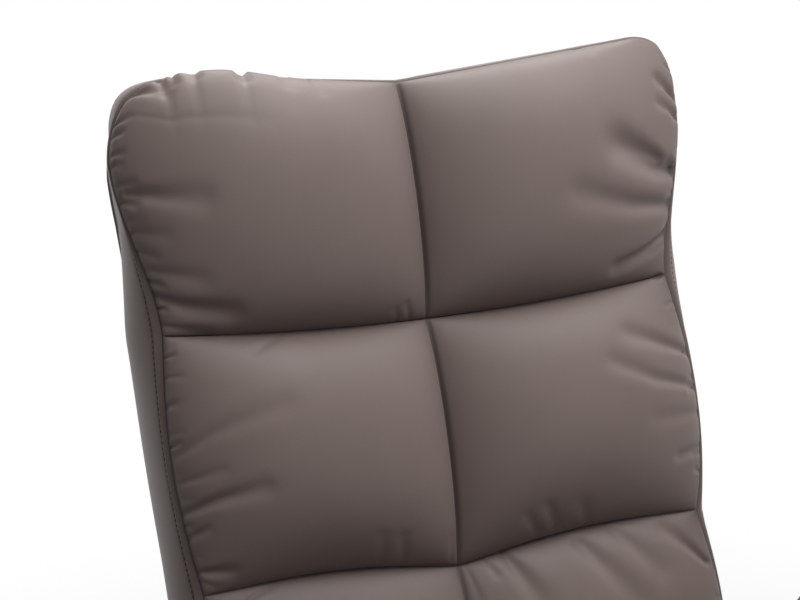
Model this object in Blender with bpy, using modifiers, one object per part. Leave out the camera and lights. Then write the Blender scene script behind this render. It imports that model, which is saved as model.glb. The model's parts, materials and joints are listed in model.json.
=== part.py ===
"""Swivel recliner: tufted back and seat on a steel linkage that turns on a round floor stand.

Metres, +Z up. The origin is on the floor under the swivel axis, the sitter faces -Y and +X is the
sitter's left. Reclining the back pushes two links forward, and they swing the footrest out.
"""

import math

import bmesh
import bpy
from mathutils import Matrix

# Clearances
SEAT_GAP = 0.0003  # between pieces that seat on each other
RUNNING_GAP = 0.0004  # radial, between a pin and its hole

# Motion
BACK_LEAN = 20.0  # degrees from upright, at rest
RECLINE = 40.0  # degrees that the back leans further
FOOTREST_SWING = 76.0  # degrees that the footrest swings up meanwhile
LEVER_DROP = 0.013  # release lever's axis below the underside of the rails

# Floor stand
BASE_RADIUS = 0.270
BASE_EDGE = 0.007
BASE_DOME = 0.009
BASE_FLAT_RADIUS = 0.100
BASE_ROUND = 0.003
BASE_WALL = 0.0045
BASE_FOOT = 0.014  # width of the ring that stands on the floor pad
FLOOR_PAD_THICKNESS = 0.003
FLOOR_PAD_INSET = 0.008
COLUMN_RADIUS = 0.035
COLUMN_WALL = 0.003
COLUMN_HEIGHT = 0.220
TRIM_RADIUS = 0.090
TRIM_HEIGHT = 0.060
TRIM_WALL = 0.002

# Swivel
PLATE = 0.005  # thickness of every steel plate
LOWER_PLATE_RADIUS = 0.085
BEARING_RADIUS = 0.062
BEARING_HEIGHT = 0.010
BEARING_BALLS = 10
CAGE_WIDTH = 0.016
CAGE_HEIGHT = 0.004
SWIVEL_BOLT_RADIUS = 0.008
SWIVEL_BOLT_TIP = 0.004  # thread that stands out of the nut
HEX_RADIUS = 0.0145
HEX_HEIGHT = 0.010
UPPER_PLATE_WIDTH = 0.220
UPPER_PLATE_MARGIN = 0.022  # past the middles of the two cross tubes
PLATE_CORNER = 0.012

# Seat frame
CROSS_FRONT_Y = -0.190
CROSS_REAR_Y = 0.110
CROSS_WIDTH = 0.040
CROSS_HEIGHT = 0.020
CROSS_WALL = 0.002
RAIL_WIDTH = 0.025
RAIL_HEIGHT = 0.060
FRONT_RAIL_HEIGHT = 0.040
REAR_RAIL_HEIGHT = 0.030
RAIL_ROUND = 0.003
RAIL_INSET = 0.020  # inside the edge of the seat cushion
RAIL_FRONT_Y = -0.285
RAIL_REAR_Y = 0.175
REAR_RAIL_Y = 0.120  # front face of the rear rail
SPRING_WIRE = 0.0016
SPRING_SWAY = 0.018
SEAT_SPRINGS = 4
SEAT_SPRING_INSET = 0.120  # outer springs inside the edge of the seat cushion
SEAT_SPRING_BENDS = 11

# Seat cushion
SEAT_HALF_WIDTH = 0.285
SEAT_FRONT_Y = -0.330
SEAT_REAR_Y = 0.180
SEAT_EDGE = 0.082
SEAT_CROWN = 0.036
SEAT_FRONT_DROP = 0.022  # rolled front edge, below the other edges
SEAT_CORNER = 0.045
SEAT_BULGE = 0.006
SEAT_FRONT_ROW = 0.52  # share of the depth in front of the cross seam

# Arms
ARM_CLEARANCE = 0.0085  # between seat cushion and arm
ARM_WIDTH = 0.070
ARM_THICKNESS = 0.042
ARM_ROUND = 0.016
ARM_TOP = 0.610
ARM_SLOPE = 0.014  # fall of the arm from front to rear
ARM_FRONT_Y = -0.285
ARM_REAR_Y = 0.130
ARM_BEND = 0.070
ARM_FOOT = 0.045  # upright stretch of the bar above its cross tube
ARM_PAD_LIFT = 0.012  # bare bar between cross tube and padding
ARM_BAR_WIDTH = 0.036
ARM_BAR = 0.007

# Back hinge and linkage
HINGE_RISE = 0.030  # hinge above the rails
HINGE_Y = 0.225
PIN_RADIUS = 0.006
PIN_HEAD_RADIUS = 0.010
PIN_HEAD = 0.003
BRACKET_HALF = 0.017
BRACKET_REACH = 0.135  # along the rail, from the hinge forward
BRACKET_ELBOW = 0.035
BRACKET_LOW = 0.004  # below the middle of the rail
CRANK_HALF = 0.013
LINK_EYE = 0.0125
LINK_UNDER_TUBE = 0.004  # link below the cross tubes
LINK_PIN_RADIUS = 0.004
LINK_SLOT = 0.0045  # up and down play of the link on the footrest pin
LINK_SLOT_SIDE = 0.0012
HINGE_ARM = 0.160  # hinge plate up the side tube
CRANK_BAR_REACH = 0.084
CRANK_BAR_RADIUS = 0.007

# Gas spring and release lever
GAS_X = -0.130
GAS_RADIUS = 0.011
GAS_ROD_RADIUS = 0.004
GAS_LENGTH = 0.220
GAS_BORE_FLOOR = 0.030
GAS_EYE = 0.005  # wall of the rod's eye
GAS_EYE_WIDTH = 0.012
GAS_SLOT = 0.0035
GAS_ROD_HOLD = 0.060  # rod left in the cylinder at rest
ANCHOR_WIDTH = 0.030
LEVER_Y = -0.110
LEVER_RADIUS = 0.005
LEVER_INNER_X = -0.125
LEVER_OUTER_X = -(SEAT_HALF_WIDTH + 0.100)
LEVER_PIVOT_RADIUS = 0.003
LEVER_EAR = 0.004
LEVER_BRACKET_WIDTH = 0.016
GRIP_LENGTH = 0.095
GRIP_RADIUS = 0.012
GRIP_CLOSED_END = 0.006

# Back
BACK_FACE = 0.016  # padding's base in front of the hinge plane
BACK_HEM = 0.030  # lower edge above the hinge, along the back
BACK_HEIGHT = 0.655  # along the back at its middle
BACK_ROW_SHARES = (0.276, 0.370, 0.354)  # of the height, from the hem up
BACK_HALF_HEM = SEAT_HALF_WIDTH - 0.037
BACK_HALF_WAIST = SEAT_HALF_WIDTH - 0.023
EAR_FLARE = 0.028  # each top corner outside the waist
EAR_DROP = 0.070  # widest place below the top edge
EAR_CORNER = 0.062
TOP_DIP = 0.024  # middle of the top edge below its corners
SIDE_BULGE = 0.010  # of each lower row, between its seams
BACK_SEAM = 0.014  # padding at the centre seams
BACK_WING = 0.018  # extra padding at the side seams
BACK_CROWN = (0.034, 0.032, 0.038)  # of each row, from the hem up
SHELL_DEPTH = 0.085
SHELL_WALL = 0.009
SHELL_BULGE = 0.012
TUBE_RADIUS = 0.0125
TUBE_WALL = 0.0015
TUBE_BELOW_TOP = 0.075  # its top below the top edge of the back
TUBE_BEND = 0.060
BACK_SPRING_SHARES = (0.20, 0.46, 0.72)  # of the height
BACK_SPRING_BENDS = 13

# Footrest
FOOT_HINGE_FORWARD = 0.025  # in front of the front rail
FOOT_PAD_TOP = 0.045  # below its hinge
FOOT_PAD_LENGTH = 0.232
FOOT_HALF_WIDTH = SEAT_HALF_WIDTH - 0.035
FOOT_BOARD = 0.012
FOOT_BOARD_INSET = 0.008
FOOT_EDGE = 0.030
FOOT_CROWN = 0.022
FOOT_CORNER = 0.030
FOOT_ARM_LENGTH = 0.200
FOOT_BRACKET_HALF = 0.014
FOOT_BRACKET_REACH = 0.060  # along the side rail
FOOT_BRACKET_LOW = 0.006  # below the middle of the front rail

# Levels and places that follow from the sizes above
FLOOR_STACK = FLOOR_PAD_THICKNESS + SEAT_GAP
BASE_TOP = FLOOR_STACK + BASE_EDGE + BASE_DOME
COLUMN_TOP = BASE_TOP + SEAT_GAP + COLUMN_HEIGHT
LOWER_PLATE_Z = COLUMN_TOP + SEAT_GAP
BEARING_Z = LOWER_PLATE_Z + PLATE + SEAT_GAP
UPPER_PLATE_Z = BEARING_Z + BEARING_HEIGHT + SEAT_GAP
CROSS_Z = UPPER_PLATE_Z + PLATE + SEAT_GAP
CROSS_TOP = CROSS_Z + CROSS_HEIGHT
RAIL_Z = CROSS_TOP + SEAT_GAP
RAIL_TOP = RAIL_Z + RAIL_HEIGHT
RAIL_OUTER_X = SEAT_HALF_WIDTH - RAIL_INSET
RAIL_INNER_X = RAIL_OUTER_X - RAIL_WIDTH
HINGE_Z = RAIL_TOP + HINGE_RISE
BRACKET_X = RAIL_INNER_X - SEAT_GAP - PLATE / 2
HINGE_PLATE_X = BRACKET_X - PLATE - SEAT_GAP
LINK_X = HINGE_PLATE_X - PLATE - SEAT_GAP
CROSS_RAIL_HALF = BRACKET_X - PLATE / 2 - SEAT_GAP
ARM_X = SEAT_HALF_WIDTH + ARM_CLEARANCE + ARM_WIDTH / 2
CROSS_HALF = ARM_X + ARM_BAR_WIDTH / 2 + 0.004
LINK_Z = CROSS_Z - LINK_UNDER_TUBE - LINK_EYE
HALF_RECLINE = math.radians(RECLINE / 2)
HALF_SWING = math.radians(FOOTREST_SWING / 2)
CRANK = (HINGE_Z - LINK_Z) / math.cos(HALF_RECLINE)
FOOT_CRANK = CRANK * math.sin(HALF_RECLINE) / math.sin(HALF_SWING)
FOOT_HINGE_Y = RAIL_FRONT_Y - FOOT_HINGE_FORWARD
FOOT_HINGE_Z = LINK_Z + FOOT_CRANK * math.cos(HALF_SWING)
LEAN = math.radians(BACK_LEAN)
BACK_ROWS = [BACK_HEIGHT * share for share in BACK_ROW_SHARES]
TUBE_TOP = BACK_HEM + BACK_HEIGHT - TUBE_BELOW_TOP
TUBE_X = HINGE_PLATE_X - PLATE / 2 - SEAT_GAP - TUBE_RADIUS
GAS_Z = HINGE_Z - CRANK_BAR_REACH * (1 + math.cos(HALF_RECLINE)) / 2
LEVER_Z = RAIL_Z - LEVER_DROP
SIDES = ((1, "left"), (-1, "right"))
ALONG_X = (math.pi / 2, 0, math.pi / 2)  # turns a flat outline into the Y-Z plane
FACING_FRONT = (math.pi / 2, 0, 0)  # turns a pad's face to -Y

for leftover in list(bpy.data.objects):
    bpy.data.objects.remove(leftover)


def collection(name):
    made = bpy.data.collections.new(name)
    bpy.context.scene.collection.children.link(made)
    return made


PARTS = collection("swivel_recliner")
CUTTERS = collection("cutters")


def material(name, colour, roughness, metallic=0.0):
    made = bpy.data.materials.new(name)
    made.use_nodes = True
    shader = made.node_tree.nodes["Principled BSDF"]
    shader.inputs["Base Color"].default_value = (*colour, 1)
    shader.inputs["Roughness"].default_value = roughness
    shader.inputs["Metallic"].default_value = metallic
    return made


LEATHER = material("taupe_faux_leather", (0.150, 0.118, 0.108), 0.48)
CHROME = material("chromed_steel", (0.62, 0.62, 0.63), 0.12, 1.0)
BLACK_STEEL = material("black_coated_steel", (0.022, 0.022, 0.024), 0.45, 0.4)
ZINC = material("zinc_plated_steel", (0.48, 0.49, 0.50), 0.35, 1.0)
SPRING_STEEL = material("spring_steel", (0.16, 0.16, 0.17), 0.4, 1.0)
WOOD = material("pine_wood", (0.55, 0.38, 0.22), 0.6)
RUBBER = material("black_rubber", (0.02, 0.02, 0.02), 0.85)
PLASTIC = material("black_plastic", (0.025, 0.025, 0.027), 0.5)


# Helpers


def pivot(name, place, parent=None, lean=0.0):
    """An empty on a joint's axis, which carries the pieces that move with it."""
    empty = bpy.data.objects.new(name, None)
    empty.location = place
    empty.rotation_euler = (-lean, 0, 0)
    empty.parent = parent
    PARTS.objects.link(empty)
    return empty


def add(name, data, finish, parent=None, place=(0, 0, 0), turn=(0, 0, 0)):
    """Puts a mesh or a curve into the model as a named piece."""
    piece = bpy.data.objects.new(name, data)
    piece.data.materials.append(finish)
    piece.location = place
    piece.rotation_euler = turn
    piece.parent = parent
    PARTS.objects.link(piece)
    return piece


def as_cutter(piece):
    PARTS.objects.unlink(piece)
    CUTTERS.objects.link(piece)
    piece.hide_render = True
    piece.display_type = "WIRE"
    return piece


def boolean(piece, other, operation):
    modifier = piece.modifiers.new(operation.lower(), "BOOLEAN")
    modifier.operation = operation
    modifier.object = as_cutter(other)
    return piece


def smooth(mesh, degrees=35):
    mesh.shade_smooth()
    mesh.set_sharp_from_angle(angle=math.radians(degrees))
    return mesh


def finish_mesh(name, bm):
    bmesh.ops.recalc_face_normals(bm, faces=bm.faces)
    mesh = bpy.data.meshes.new(name)
    bm.to_mesh(mesh)
    bm.free()
    return smooth(mesh)


def box(name, finish, size, centre, parent=None, rounding=0.0):
    """A block with rounded edges, given by its size and its middle."""
    bm = bmesh.new()
    bmesh.ops.create_cube(bm, size=1.0, matrix=Matrix.Diagonal((*size, 1)))
    piece = add(name, finish_mesh(name, bm), finish, parent, centre)
    if rounding:
        modifier = piece.modifiers.new("rounding", "BEVEL")
        modifier.width = rounding
        modifier.segments = 2
    return piece


def rod(name, finish, radius, length, centre, parent=None, turn=(0, 0, 0), sides=20):
    """A round bar along its own Z, given by its middle."""
    bm = bmesh.new()
    bmesh.ops.create_cone(
        bm, cap_ends=True, segments=sides, radius1=radius, radius2=radius, depth=length
    )
    return add(name, finish_mesh(name, bm), finish, parent, centre, turn)


def turned(name, finish, profile, parent=None, place=(0, 0, 0), turn=(0, 0, 0), closed=False, steps=40):
    """A shape turned about its own Z from (radius, height) points that run down its outer side."""
    mesh = bpy.data.meshes.new(name)
    count = len(profile)
    edges = [(i, (i + 1) % count) for i in range(count if closed else count - 1)]
    mesh.from_pydata([(r, 0, z) for r, z in profile], edges, [])
    piece = add(name, mesh, finish, parent, place, turn)
    screw = piece.modifiers.new("turn", "SCREW")
    screw.steps = steps
    screw.render_steps = steps
    screw.use_merge_vertices = True
    screw.merge_threshold = 0.00001
    screw.use_smooth_shade = True
    return piece


def circle(centre, radius, count=20):
    turns = [2 * math.pi * i / count for i in range(count)]
    return [(centre[0] + radius * math.cos(a), centre[1] + radius * math.sin(a)) for a in turns]


def slot(centre, radius, reach, count=8):
    """An upright slot with round ends, whose ends reach that far above and below its middle."""
    arc = [math.pi * i / count for i in range(count + 1)]
    upper = [(centre[0] + radius * math.cos(a), centre[1] + reach + radius * math.sin(a)) for a in arc]
    lower = [(centre[0] - radius * math.cos(a), centre[1] - reach - radius * math.sin(a)) for a in arc]
    return upper + lower


def rounded_rectangle(width, height, radius, count=4):
    outline = []
    for quarter, (sx, sy) in enumerate(((1, 1), (-1, 1), (-1, -1), (1, -1))):
        for i in range(count + 1):
            a = math.pi / 2 * (quarter + i / count)
            x = sx * (width / 2 - radius) + radius * math.cos(a)
            y = sy * (height / 2 - radius) + radius * math.sin(a)
            outline.append((x, y))
    return outline


def bent(points, bend, count=6):
    """A line through the points with each inner corner rounded to that radius."""
    path = [points[0]]
    for before, corner, after in zip(points, points[1:], points[2:]):
        ax, ay = before[0] - corner[0], before[1] - corner[1]
        bx, by = after[0] - corner[0], after[1] - corner[1]
        la, lb = math.hypot(ax, ay), math.hypot(bx, by)
        ax, ay, bx, by = ax / la, ay / la, bx / lb, by / lb
        half = math.acos(max(-1.0, min(1.0, ax * bx + ay * by))) / 2
        reach = min(bend / math.tan(half), 0.45 * la, 0.45 * lb)
        start = (corner[0] + ax * reach, corner[1] + ay * reach)
        end = (corner[0] + bx * reach, corner[1] + by * reach)
        for i in range(count + 1):
            t = i / count
            k = (1 - t) ** 2, 2 * t * (1 - t), t * t
            path.append(tuple(k[0] * start[j] + k[1] * corner[j] + k[2] * end[j] for j in (0, 1)))
    path.append(points[-1])
    return path


def ribbon(path, half, caps=0):
    """The outline of a band of that half width along a path, with square ends or, with caps, round ones."""
    left, right, turns = [], [], []
    for i, (x, y) in enumerate(path):
        x0, y0 = path[max(i - 1, 0)]
        x1, y1 = path[min(i + 1, len(path) - 1)]
        a = math.atan2(y1 - y0, x1 - x0)
        turns.append(a)
        left.append((x - half * math.sin(a), y + half * math.cos(a)))
        right.append((x + half * math.sin(a), y - half * math.cos(a)))
    end, start = [], []
    for i in range(1, caps):
        a = math.pi / 2 - math.pi * i / caps
        end.append(
            (path[-1][0] + half * math.cos(turns[-1] + a), path[-1][1] + half * math.sin(turns[-1] + a))
        )
        start.append(
            (path[0][0] - half * math.cos(turns[0] + a), path[0][1] - half * math.sin(turns[0] + a))
        )
    return left + end + right[::-1] + start


def gusset(rounds):
    """The outline of a plate stretched round circles, given as (centre, radius)."""
    points = sorted(point for centre, radius in rounds for point in circle(centre, radius, 24))
    chains = []
    for order in (points, points[::-1]):
        chain = []
        for x, y in order:
            while len(chain) > 1:
                (ax, ay), (bx, by) = chain[-2:]
                if (bx - ax) * (y - ay) - (by - ay) * (x - ax) > 1e-9:
                    break
                chain.pop()
            chain.append((x, y))
        chains += chain[:-1]
    return chains


def flat(name, finish, outlines, thickness, parent=None, place=(0, 0, 0), turn=(0, 0, 0), rounding=0.0):
    """A sheet cut to an outline. Further outlines inside it are holes, and rounding softens its edges."""
    curve = bpy.data.curves.new(name, "CURVE")
    curve.dimensions = "2D"
    curve.fill_mode = "BOTH"
    curve.extrude = thickness / 2 - rounding
    curve.bevel_depth = rounding
    curve.bevel_resolution = 1 if rounding else 0
    curve.offset = -rounding
    for outline in outlines:
        spline = curve.splines.new("POLY")
        spline.points.add(len(outline) - 1)
        for point, (x, y) in zip(spline.points, outline):
            point.co = (x, y, 0, 1)
        spline.use_cyclic_u = True
    return add(name, curve, finish, parent, place, turn)


def tube(name, finish, points, radius, parent=None, place=(0, 0, 0), resolution=2, wall=0.0):
    """A round wire along the points, or with a wall, a tube with open ends."""
    curve = bpy.data.curves.new(name, "CURVE")
    curve.dimensions = "3D"
    curve.bevel_depth = radius
    curve.bevel_resolution = resolution
    curve.use_fill_caps = not wall
    spline = curve.splines.new("POLY")
    spline.points.add(len(points) - 1)
    for point, co in zip(spline.points, points):
        point.co = (*co, 1)
    piece = add(name, curve, finish, parent, place)
    if wall:
        piece = meshed(piece)
        hollow = piece.modifiers.new("wall", "SOLIDIFY")
        hollow.thickness = wall
        hollow.offset = -1
    return piece


def meshed(piece):
    """The same piece as a mesh with welded caps, so that it can be cut or joined."""
    bpy.context.view_layer.update()
    graph = bpy.context.evaluated_depsgraph_get()
    mesh = bpy.data.meshes.new_from_object(piece.evaluated_get(graph))
    bm = bmesh.new()
    bm.from_mesh(mesh)
    bmesh.ops.remove_doubles(bm, verts=bm.verts, dist=0.00001)
    bmesh.ops.recalc_face_normals(bm, faces=bm.faces)
    bm.to_mesh(mesh)
    bm.free()
    name, parent, world = piece.name, piece.parent, piece.matrix_world.copy()
    bpy.data.objects.remove(piece)
    made = bpy.data.objects.new(name, smooth(mesh))
    made.parent = parent
    PARTS.objects.link(made)
    made.matrix_world = world
    return made


def rivet(name, finish, radius, span, centre, parent, head=PIN_HEAD_RADIUS):
    """A headed pin along X whose heads clip the plates that span across it."""
    half = span / 2 + SEAT_GAP
    profile = [
        (0, half + PIN_HEAD),
        (head, half + PIN_HEAD),
        (head, half),
        (radius, half),
        (radius, -half),
        (head, -half),
        (head, -half - PIN_HEAD),
        (0, -half - PIN_HEAD),
    ]
    return turned(name, finish, profile, parent, centre, (0, math.pi / 2, 0), steps=12)


def spread(share, limits):
    """(place, angle) of a share of the way along sewn panels: lines crowd towards the seams, and the angle
    runs from 0 to pi across each panel."""
    panels = len(limits) - 1
    index = min(int(share * panels + 1e-6), panels - 1)
    angle = math.pi * min(max(share * panels - index, 0.0), 1.0)
    low, high = limits[index], limits[index + 1]
    return low + (high - low) * (1 - math.cos(angle)) / 2, angle


def rounded_corner(across, up, half, top, radius):
    """Carries a place near the upper corner of a half width and a top edge onto a round corner."""
    x = 1 - (half - abs(across)) / radius
    y = 1 - (top - up) / radius
    if x <= 0 or y <= 0:
        return across, up
    x, y = x * math.sqrt(1 - y * y / 2), y * math.sqrt(1 - x * x / 2)
    return math.copysign(half - radius + radius * x, across), top - radius + radius * y


def pad(name, columns, rows, face, bulge):
    """A sewn pad on a flat base. face(share across, share up) gives a point of its upper face, and its
    sides run from the border of that face down to the base, swelling by the bulge half way."""
    bm = bmesh.new()
    bmesh.ops.create_grid(bm, x_segments=columns, y_segments=rows, size=1.0)
    for vert in bm.verts:
        vert.co = face((vert.co.x + 1) / 2, (vert.co.y + 1) / 2)
    middle = sum((v.co.y for v in bm.verts)) / len(bm.verts)
    for level, swell in ((0.5, bulge), (0.0, -bulge)):
        border = [edge for edge in bm.edges if edge.is_boundary]
        made = bmesh.ops.extrude_edge_only(bm, edges=border)["geom"]
        for vert in (part for part in made if isinstance(part, bmesh.types.BMVert)):
            reach = math.hypot(vert.co.x, vert.co.y - middle)
            vert.co.x += swell * vert.co.x / reach
            vert.co.y += swell * (vert.co.y - middle) / reach
            vert.co.z *= level
    border = [edge for edge in bm.edges if edge.is_boundary]
    bmesh.ops.contextual_create(bm, geom=border)
    return finish_mesh(name, bm)


# Bodies

swivel = pivot("swivel_axis", (0, 0, 0))
recline = pivot("recline_axis", (0, HINGE_Y, HINGE_Z), swivel, LEAN)
footrest = pivot("footrest_axis", (0, FOOT_HINGE_Y, FOOT_HINGE_Z), swivel)
LEVER_PIVOT_X = -(RAIL_OUTER_X - RAIL_WIDTH / 2)
lever = pivot("lever_axis", (LEVER_PIVOT_X, LEVER_Y, LEVER_Z), swivel)


def on_back(y, z):
    """(back, up) in the leaning back's own axes, from an offset to the hinge in the chair's axes."""
    return y * math.cos(LEAN) - z * math.sin(LEAN), y * math.sin(LEAN) + z * math.cos(LEAN)


def crank_offset(reach):
    """A place down the crank at rest, when it hangs half the recline behind straight down."""
    return reach * math.sin(HALF_RECLINE), -reach * math.cos(HALF_RECLINE)


# Floor stand


def floor_stand():
    pad_radius = BASE_RADIUS - FLOOR_PAD_INSET
    turned(
        "floor_pad",
        RUBBER,
        [(0, FLOOR_PAD_THICKNESS), (pad_radius, FLOOR_PAD_THICKNESS), (pad_radius, 0), (0, 0)],
    )
    rim_top = FLOOR_STACK + BASE_EDGE
    slope = []
    for i in range(5):
        t = i / 4
        r = BASE_FLAT_RADIUS + t * (BASE_RADIUS - BASE_ROUND - BASE_FLAT_RADIUS)
        slope.append((r, rim_top + BASE_DOME * (1 + math.cos(math.pi * t)) / 2))
    rim = [
        (BASE_RADIUS, rim_top - BASE_ROUND),
        (BASE_RADIUS, FLOOR_STACK + BASE_ROUND / 2),
        (BASE_RADIUS - BASE_ROUND / 2, FLOOR_STACK),
        (BASE_RADIUS - BASE_FOOT, FLOOR_STACK),
    ]
    under = [(r - BASE_FOOT, z - BASE_WALL) for r, z in slope[::-1]]
    turned("base_plate", CHROME, [(0, BASE_TOP), *slope, *rim, *under, (0, BASE_TOP - BASE_WALL)])

    foot = BASE_TOP + SEAT_GAP
    inner = COLUMN_RADIUS - COLUMN_WALL
    turned(
        "base_column",
        CHROME,
        [(COLUMN_RADIUS, COLUMN_TOP), (COLUMN_RADIUS, foot), (inner, foot), (inner, COLUMN_TOP)],
        closed=True,
        steps=32,
    )

    neck = COLUMN_RADIUS + SEAT_GAP + TRIM_WALL
    outer = []
    for i in range(6):
        t = i / 5
        flare = (TRIM_RADIUS - neck) * (1 - math.cos(t * math.pi / 2))
        outer.append((neck + flare, foot + TRIM_HEIGHT * (1 - math.sin(t * math.pi / 2))))
    wall = [(r - TRIM_WALL, max(z - TRIM_WALL * i / 5, foot)) for i, (r, z) in enumerate(outer)]
    turned("column_trim", CHROME, outer + wall[::-1], closed=True, steps=28)


# Swivel


def swivel_unit():
    hole = SWIVEL_BOLT_RADIUS + RUNNING_GAP
    turned(
        "lower_swivel_plate",
        BLACK_STEEL,
        [
            (LOWER_PLATE_RADIUS, LOWER_PLATE_Z + PLATE),
            (LOWER_PLATE_RADIUS, LOWER_PLATE_Z),
            (hole, LOWER_PLATE_Z),
            (hole, LOWER_PLATE_Z + PLATE),
        ],
        closed=True,
        steps=32,
    )

    ball = BEARING_HEIGHT / 2
    outer, inner = BEARING_RADIUS + CAGE_WIDTH / 2, BEARING_RADIUS - CAGE_WIDTH / 2
    cage_top, cage_low = CAGE_HEIGHT / 2, -CAGE_HEIGHT / 2
    cage = turned(
        "swivel_bearing",
        ZINC,
        [(outer, cage_top), (outer, cage_low), (inner, cage_low), (inner, cage_top)],
        place=(0, 0, BEARING_Z + ball),
        closed=True,
        steps=24,
    )
    bm = bmesh.new()
    for i in range(BEARING_BALLS):
        a = 2 * math.pi * (i + 0.5) / BEARING_BALLS
        where = Matrix.Translation((BEARING_RADIUS * math.cos(a), BEARING_RADIUS * math.sin(a), 0))
        bmesh.ops.create_uvsphere(bm, u_segments=6, v_segments=4, radius=ball, matrix=where)
    balls = add("bearing_balls", finish_mesh("bearing_balls", bm), ZINC, place=(0, 0, BEARING_Z + ball))
    boolean(cage, balls, "UNION")

    nut_z = UPPER_PLATE_Z + PLATE + SEAT_GAP
    head_top = LOWER_PLATE_Z - SEAT_GAP
    tip = nut_z + HEX_HEIGHT + SWIVEL_BOLT_TIP
    bolt = rod(
        "swivel_bolt",
        ZINC,
        SWIVEL_BOLT_RADIUS,
        tip - head_top + HEX_HEIGHT / 2,
        (0, 0, (tip + head_top - HEX_HEIGHT / 2) / 2),
    )
    head = rod("bolt_head", ZINC, HEX_RADIUS, HEX_HEIGHT, (0, 0, head_top - HEX_HEIGHT / 2), sides=6)
    boolean(bolt, head, "UNION")
    flat(
        "swivel_nut",
        ZINC,
        [circle((0, 0), HEX_RADIUS, 6), circle((0, 0), SWIVEL_BOLT_RADIUS + RUNNING_GAP)],
        HEX_HEIGHT,
        place=(0, 0, nut_z + HEX_HEIGHT / 2),
    )

    front, rear = CROSS_FRONT_Y - UPPER_PLATE_MARGIN, CROSS_REAR_Y + UPPER_PLATE_MARGIN
    middle = (front + rear) / 2
    flat(
        "upper_swivel_plate",
        BLACK_STEEL,
        [
            rounded_rectangle(UPPER_PLATE_WIDTH, rear - front, PLATE_CORNER),
            circle((0, -middle), HEX_RADIUS + 0.002),
        ],
        PLATE,
        swivel,
        (0, middle, UPPER_PLATE_Z + PLATE / 2),
    )


# Seat frame


def seat_frame():
    section = rounded_rectangle(CROSS_WIDTH, CROSS_HEIGHT, 0.003, 2)
    hollow = rounded_rectangle(CROSS_WIDTH - 2 * CROSS_WALL, CROSS_HEIGHT - 2 * CROSS_WALL, 0.001, 1)
    for y, where in ((CROSS_FRONT_Y, "front"), (CROSS_REAR_Y, "rear")):
        flat(
            f"cross_tube_{where}",
            BLACK_STEEL,
            [section, hollow],
            2 * CROSS_HALF,
            swivel,
            (0, y, CROSS_Z + CROSS_HEIGHT / 2),
            ALONG_X,
        )
    length = RAIL_REAR_Y - RAIL_FRONT_Y
    for side, where in SIDES:
        box(
            f"seat_rail_{where}",
            WOOD,
            (RAIL_WIDTH, length, RAIL_HEIGHT),
            (side * (RAIL_OUTER_X - RAIL_WIDTH / 2), RAIL_REAR_Y - length / 2, RAIL_Z + RAIL_HEIGHT / 2),
            swivel,
            RAIL_ROUND,
        )
    for where, y, height in (
        ("front", RAIL_FRONT_Y, FRONT_RAIL_HEIGHT),
        ("rear", REAR_RAIL_Y, REAR_RAIL_HEIGHT),
    ):
        box(
            f"seat_rail_{where}",
            WOOD,
            (2 * CROSS_RAIL_HALF, RAIL_WIDTH, height),
            (0, y + RAIL_WIDTH / 2, RAIL_TOP - height / 2),
            swivel,
            RAIL_ROUND,
        )


def zigzag(start, end, sway, bends, arch):
    """(along, aside, rise) points of a sinuous spring between two places along a line, arched in the middle."""
    steps = 3 * bends
    points = []
    for i in range(steps + 1):
        t = i / steps
        ease = min(1.0, 6 * t, 6 * (1 - t))
        points.append(
            (start + t * (end - start), sway * ease * math.sin(math.pi * bends * t), arch * math.sin(math.pi * t))
        )
    return points


def seat_springs():
    front, rear = RAIL_FRONT_Y + RAIL_WIDTH + SEAT_GAP, REAR_RAIL_Y - SEAT_GAP
    hook = 0.008  # hooks on the rails lie this far below their tops
    path = zigzag(front, rear, SPRING_SWAY, SEAT_SPRING_BENDS, hook - SPRING_WIRE - SEAT_GAP)
    for i in range(SEAT_SPRINGS):
        x = (SEAT_HALF_WIDTH - SEAT_SPRING_INSET) * (2 * i / (SEAT_SPRINGS - 1) - 1)
        tube(
            f"seat_spring_{i + 1}",
            SPRING_STEEL,
            [(aside, along, rise) for along, aside, rise in path],
            SPRING_WIRE,
            swivel,
            (x, 0, RAIL_TOP - hook),
            resolution=0,
        )


def seat_cushion():
    depth = SEAT_REAR_Y - SEAT_FRONT_Y
    middle = (SEAT_REAR_Y + SEAT_FRONT_Y) / 2

    def face(share_x, share_y):
        across, a = spread(share_x, (-1.0, 0.0, 1.0))
        along, b = spread(share_y, (0.0, SEAT_FRONT_ROW, 1.0))
        x, y = across * SEAT_HALF_WIDTH, depth * (along - 0.5)
        x, y = rounded_corner(x, -y, SEAT_HALF_WIDTH, depth / 2, SEAT_CORNER)
        roll = SEAT_FRONT_DROP * max(0.0, 1 - along / 0.2) ** 2
        crown = SEAT_CROWN * (math.sin(a) * math.sin(b)) ** 0.6
        return x, -y, SEAT_EDGE - roll + crown

    mesh = pad("seat_cushion", 16, 14, face, SEAT_BULGE)
    add("seat_cushion", mesh, LEATHER, swivel, (0, middle, RAIL_TOP + SEAT_GAP))


def arm_path(foot):
    top_rear = ARM_TOP - ARM_SLOPE
    half = ARM_THICKNESS / 2
    corners = [
        (CROSS_FRONT_Y, foot),
        (CROSS_FRONT_Y, CROSS_TOP + ARM_FOOT),
        (ARM_FRONT_Y, ARM_TOP - half),
        (ARM_REAR_Y, top_rear - half),
        (CROSS_REAR_Y, CROSS_TOP + ARM_FOOT),
        (CROSS_REAR_Y, foot),
    ]
    return bent(corners, ARM_BEND)


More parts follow.
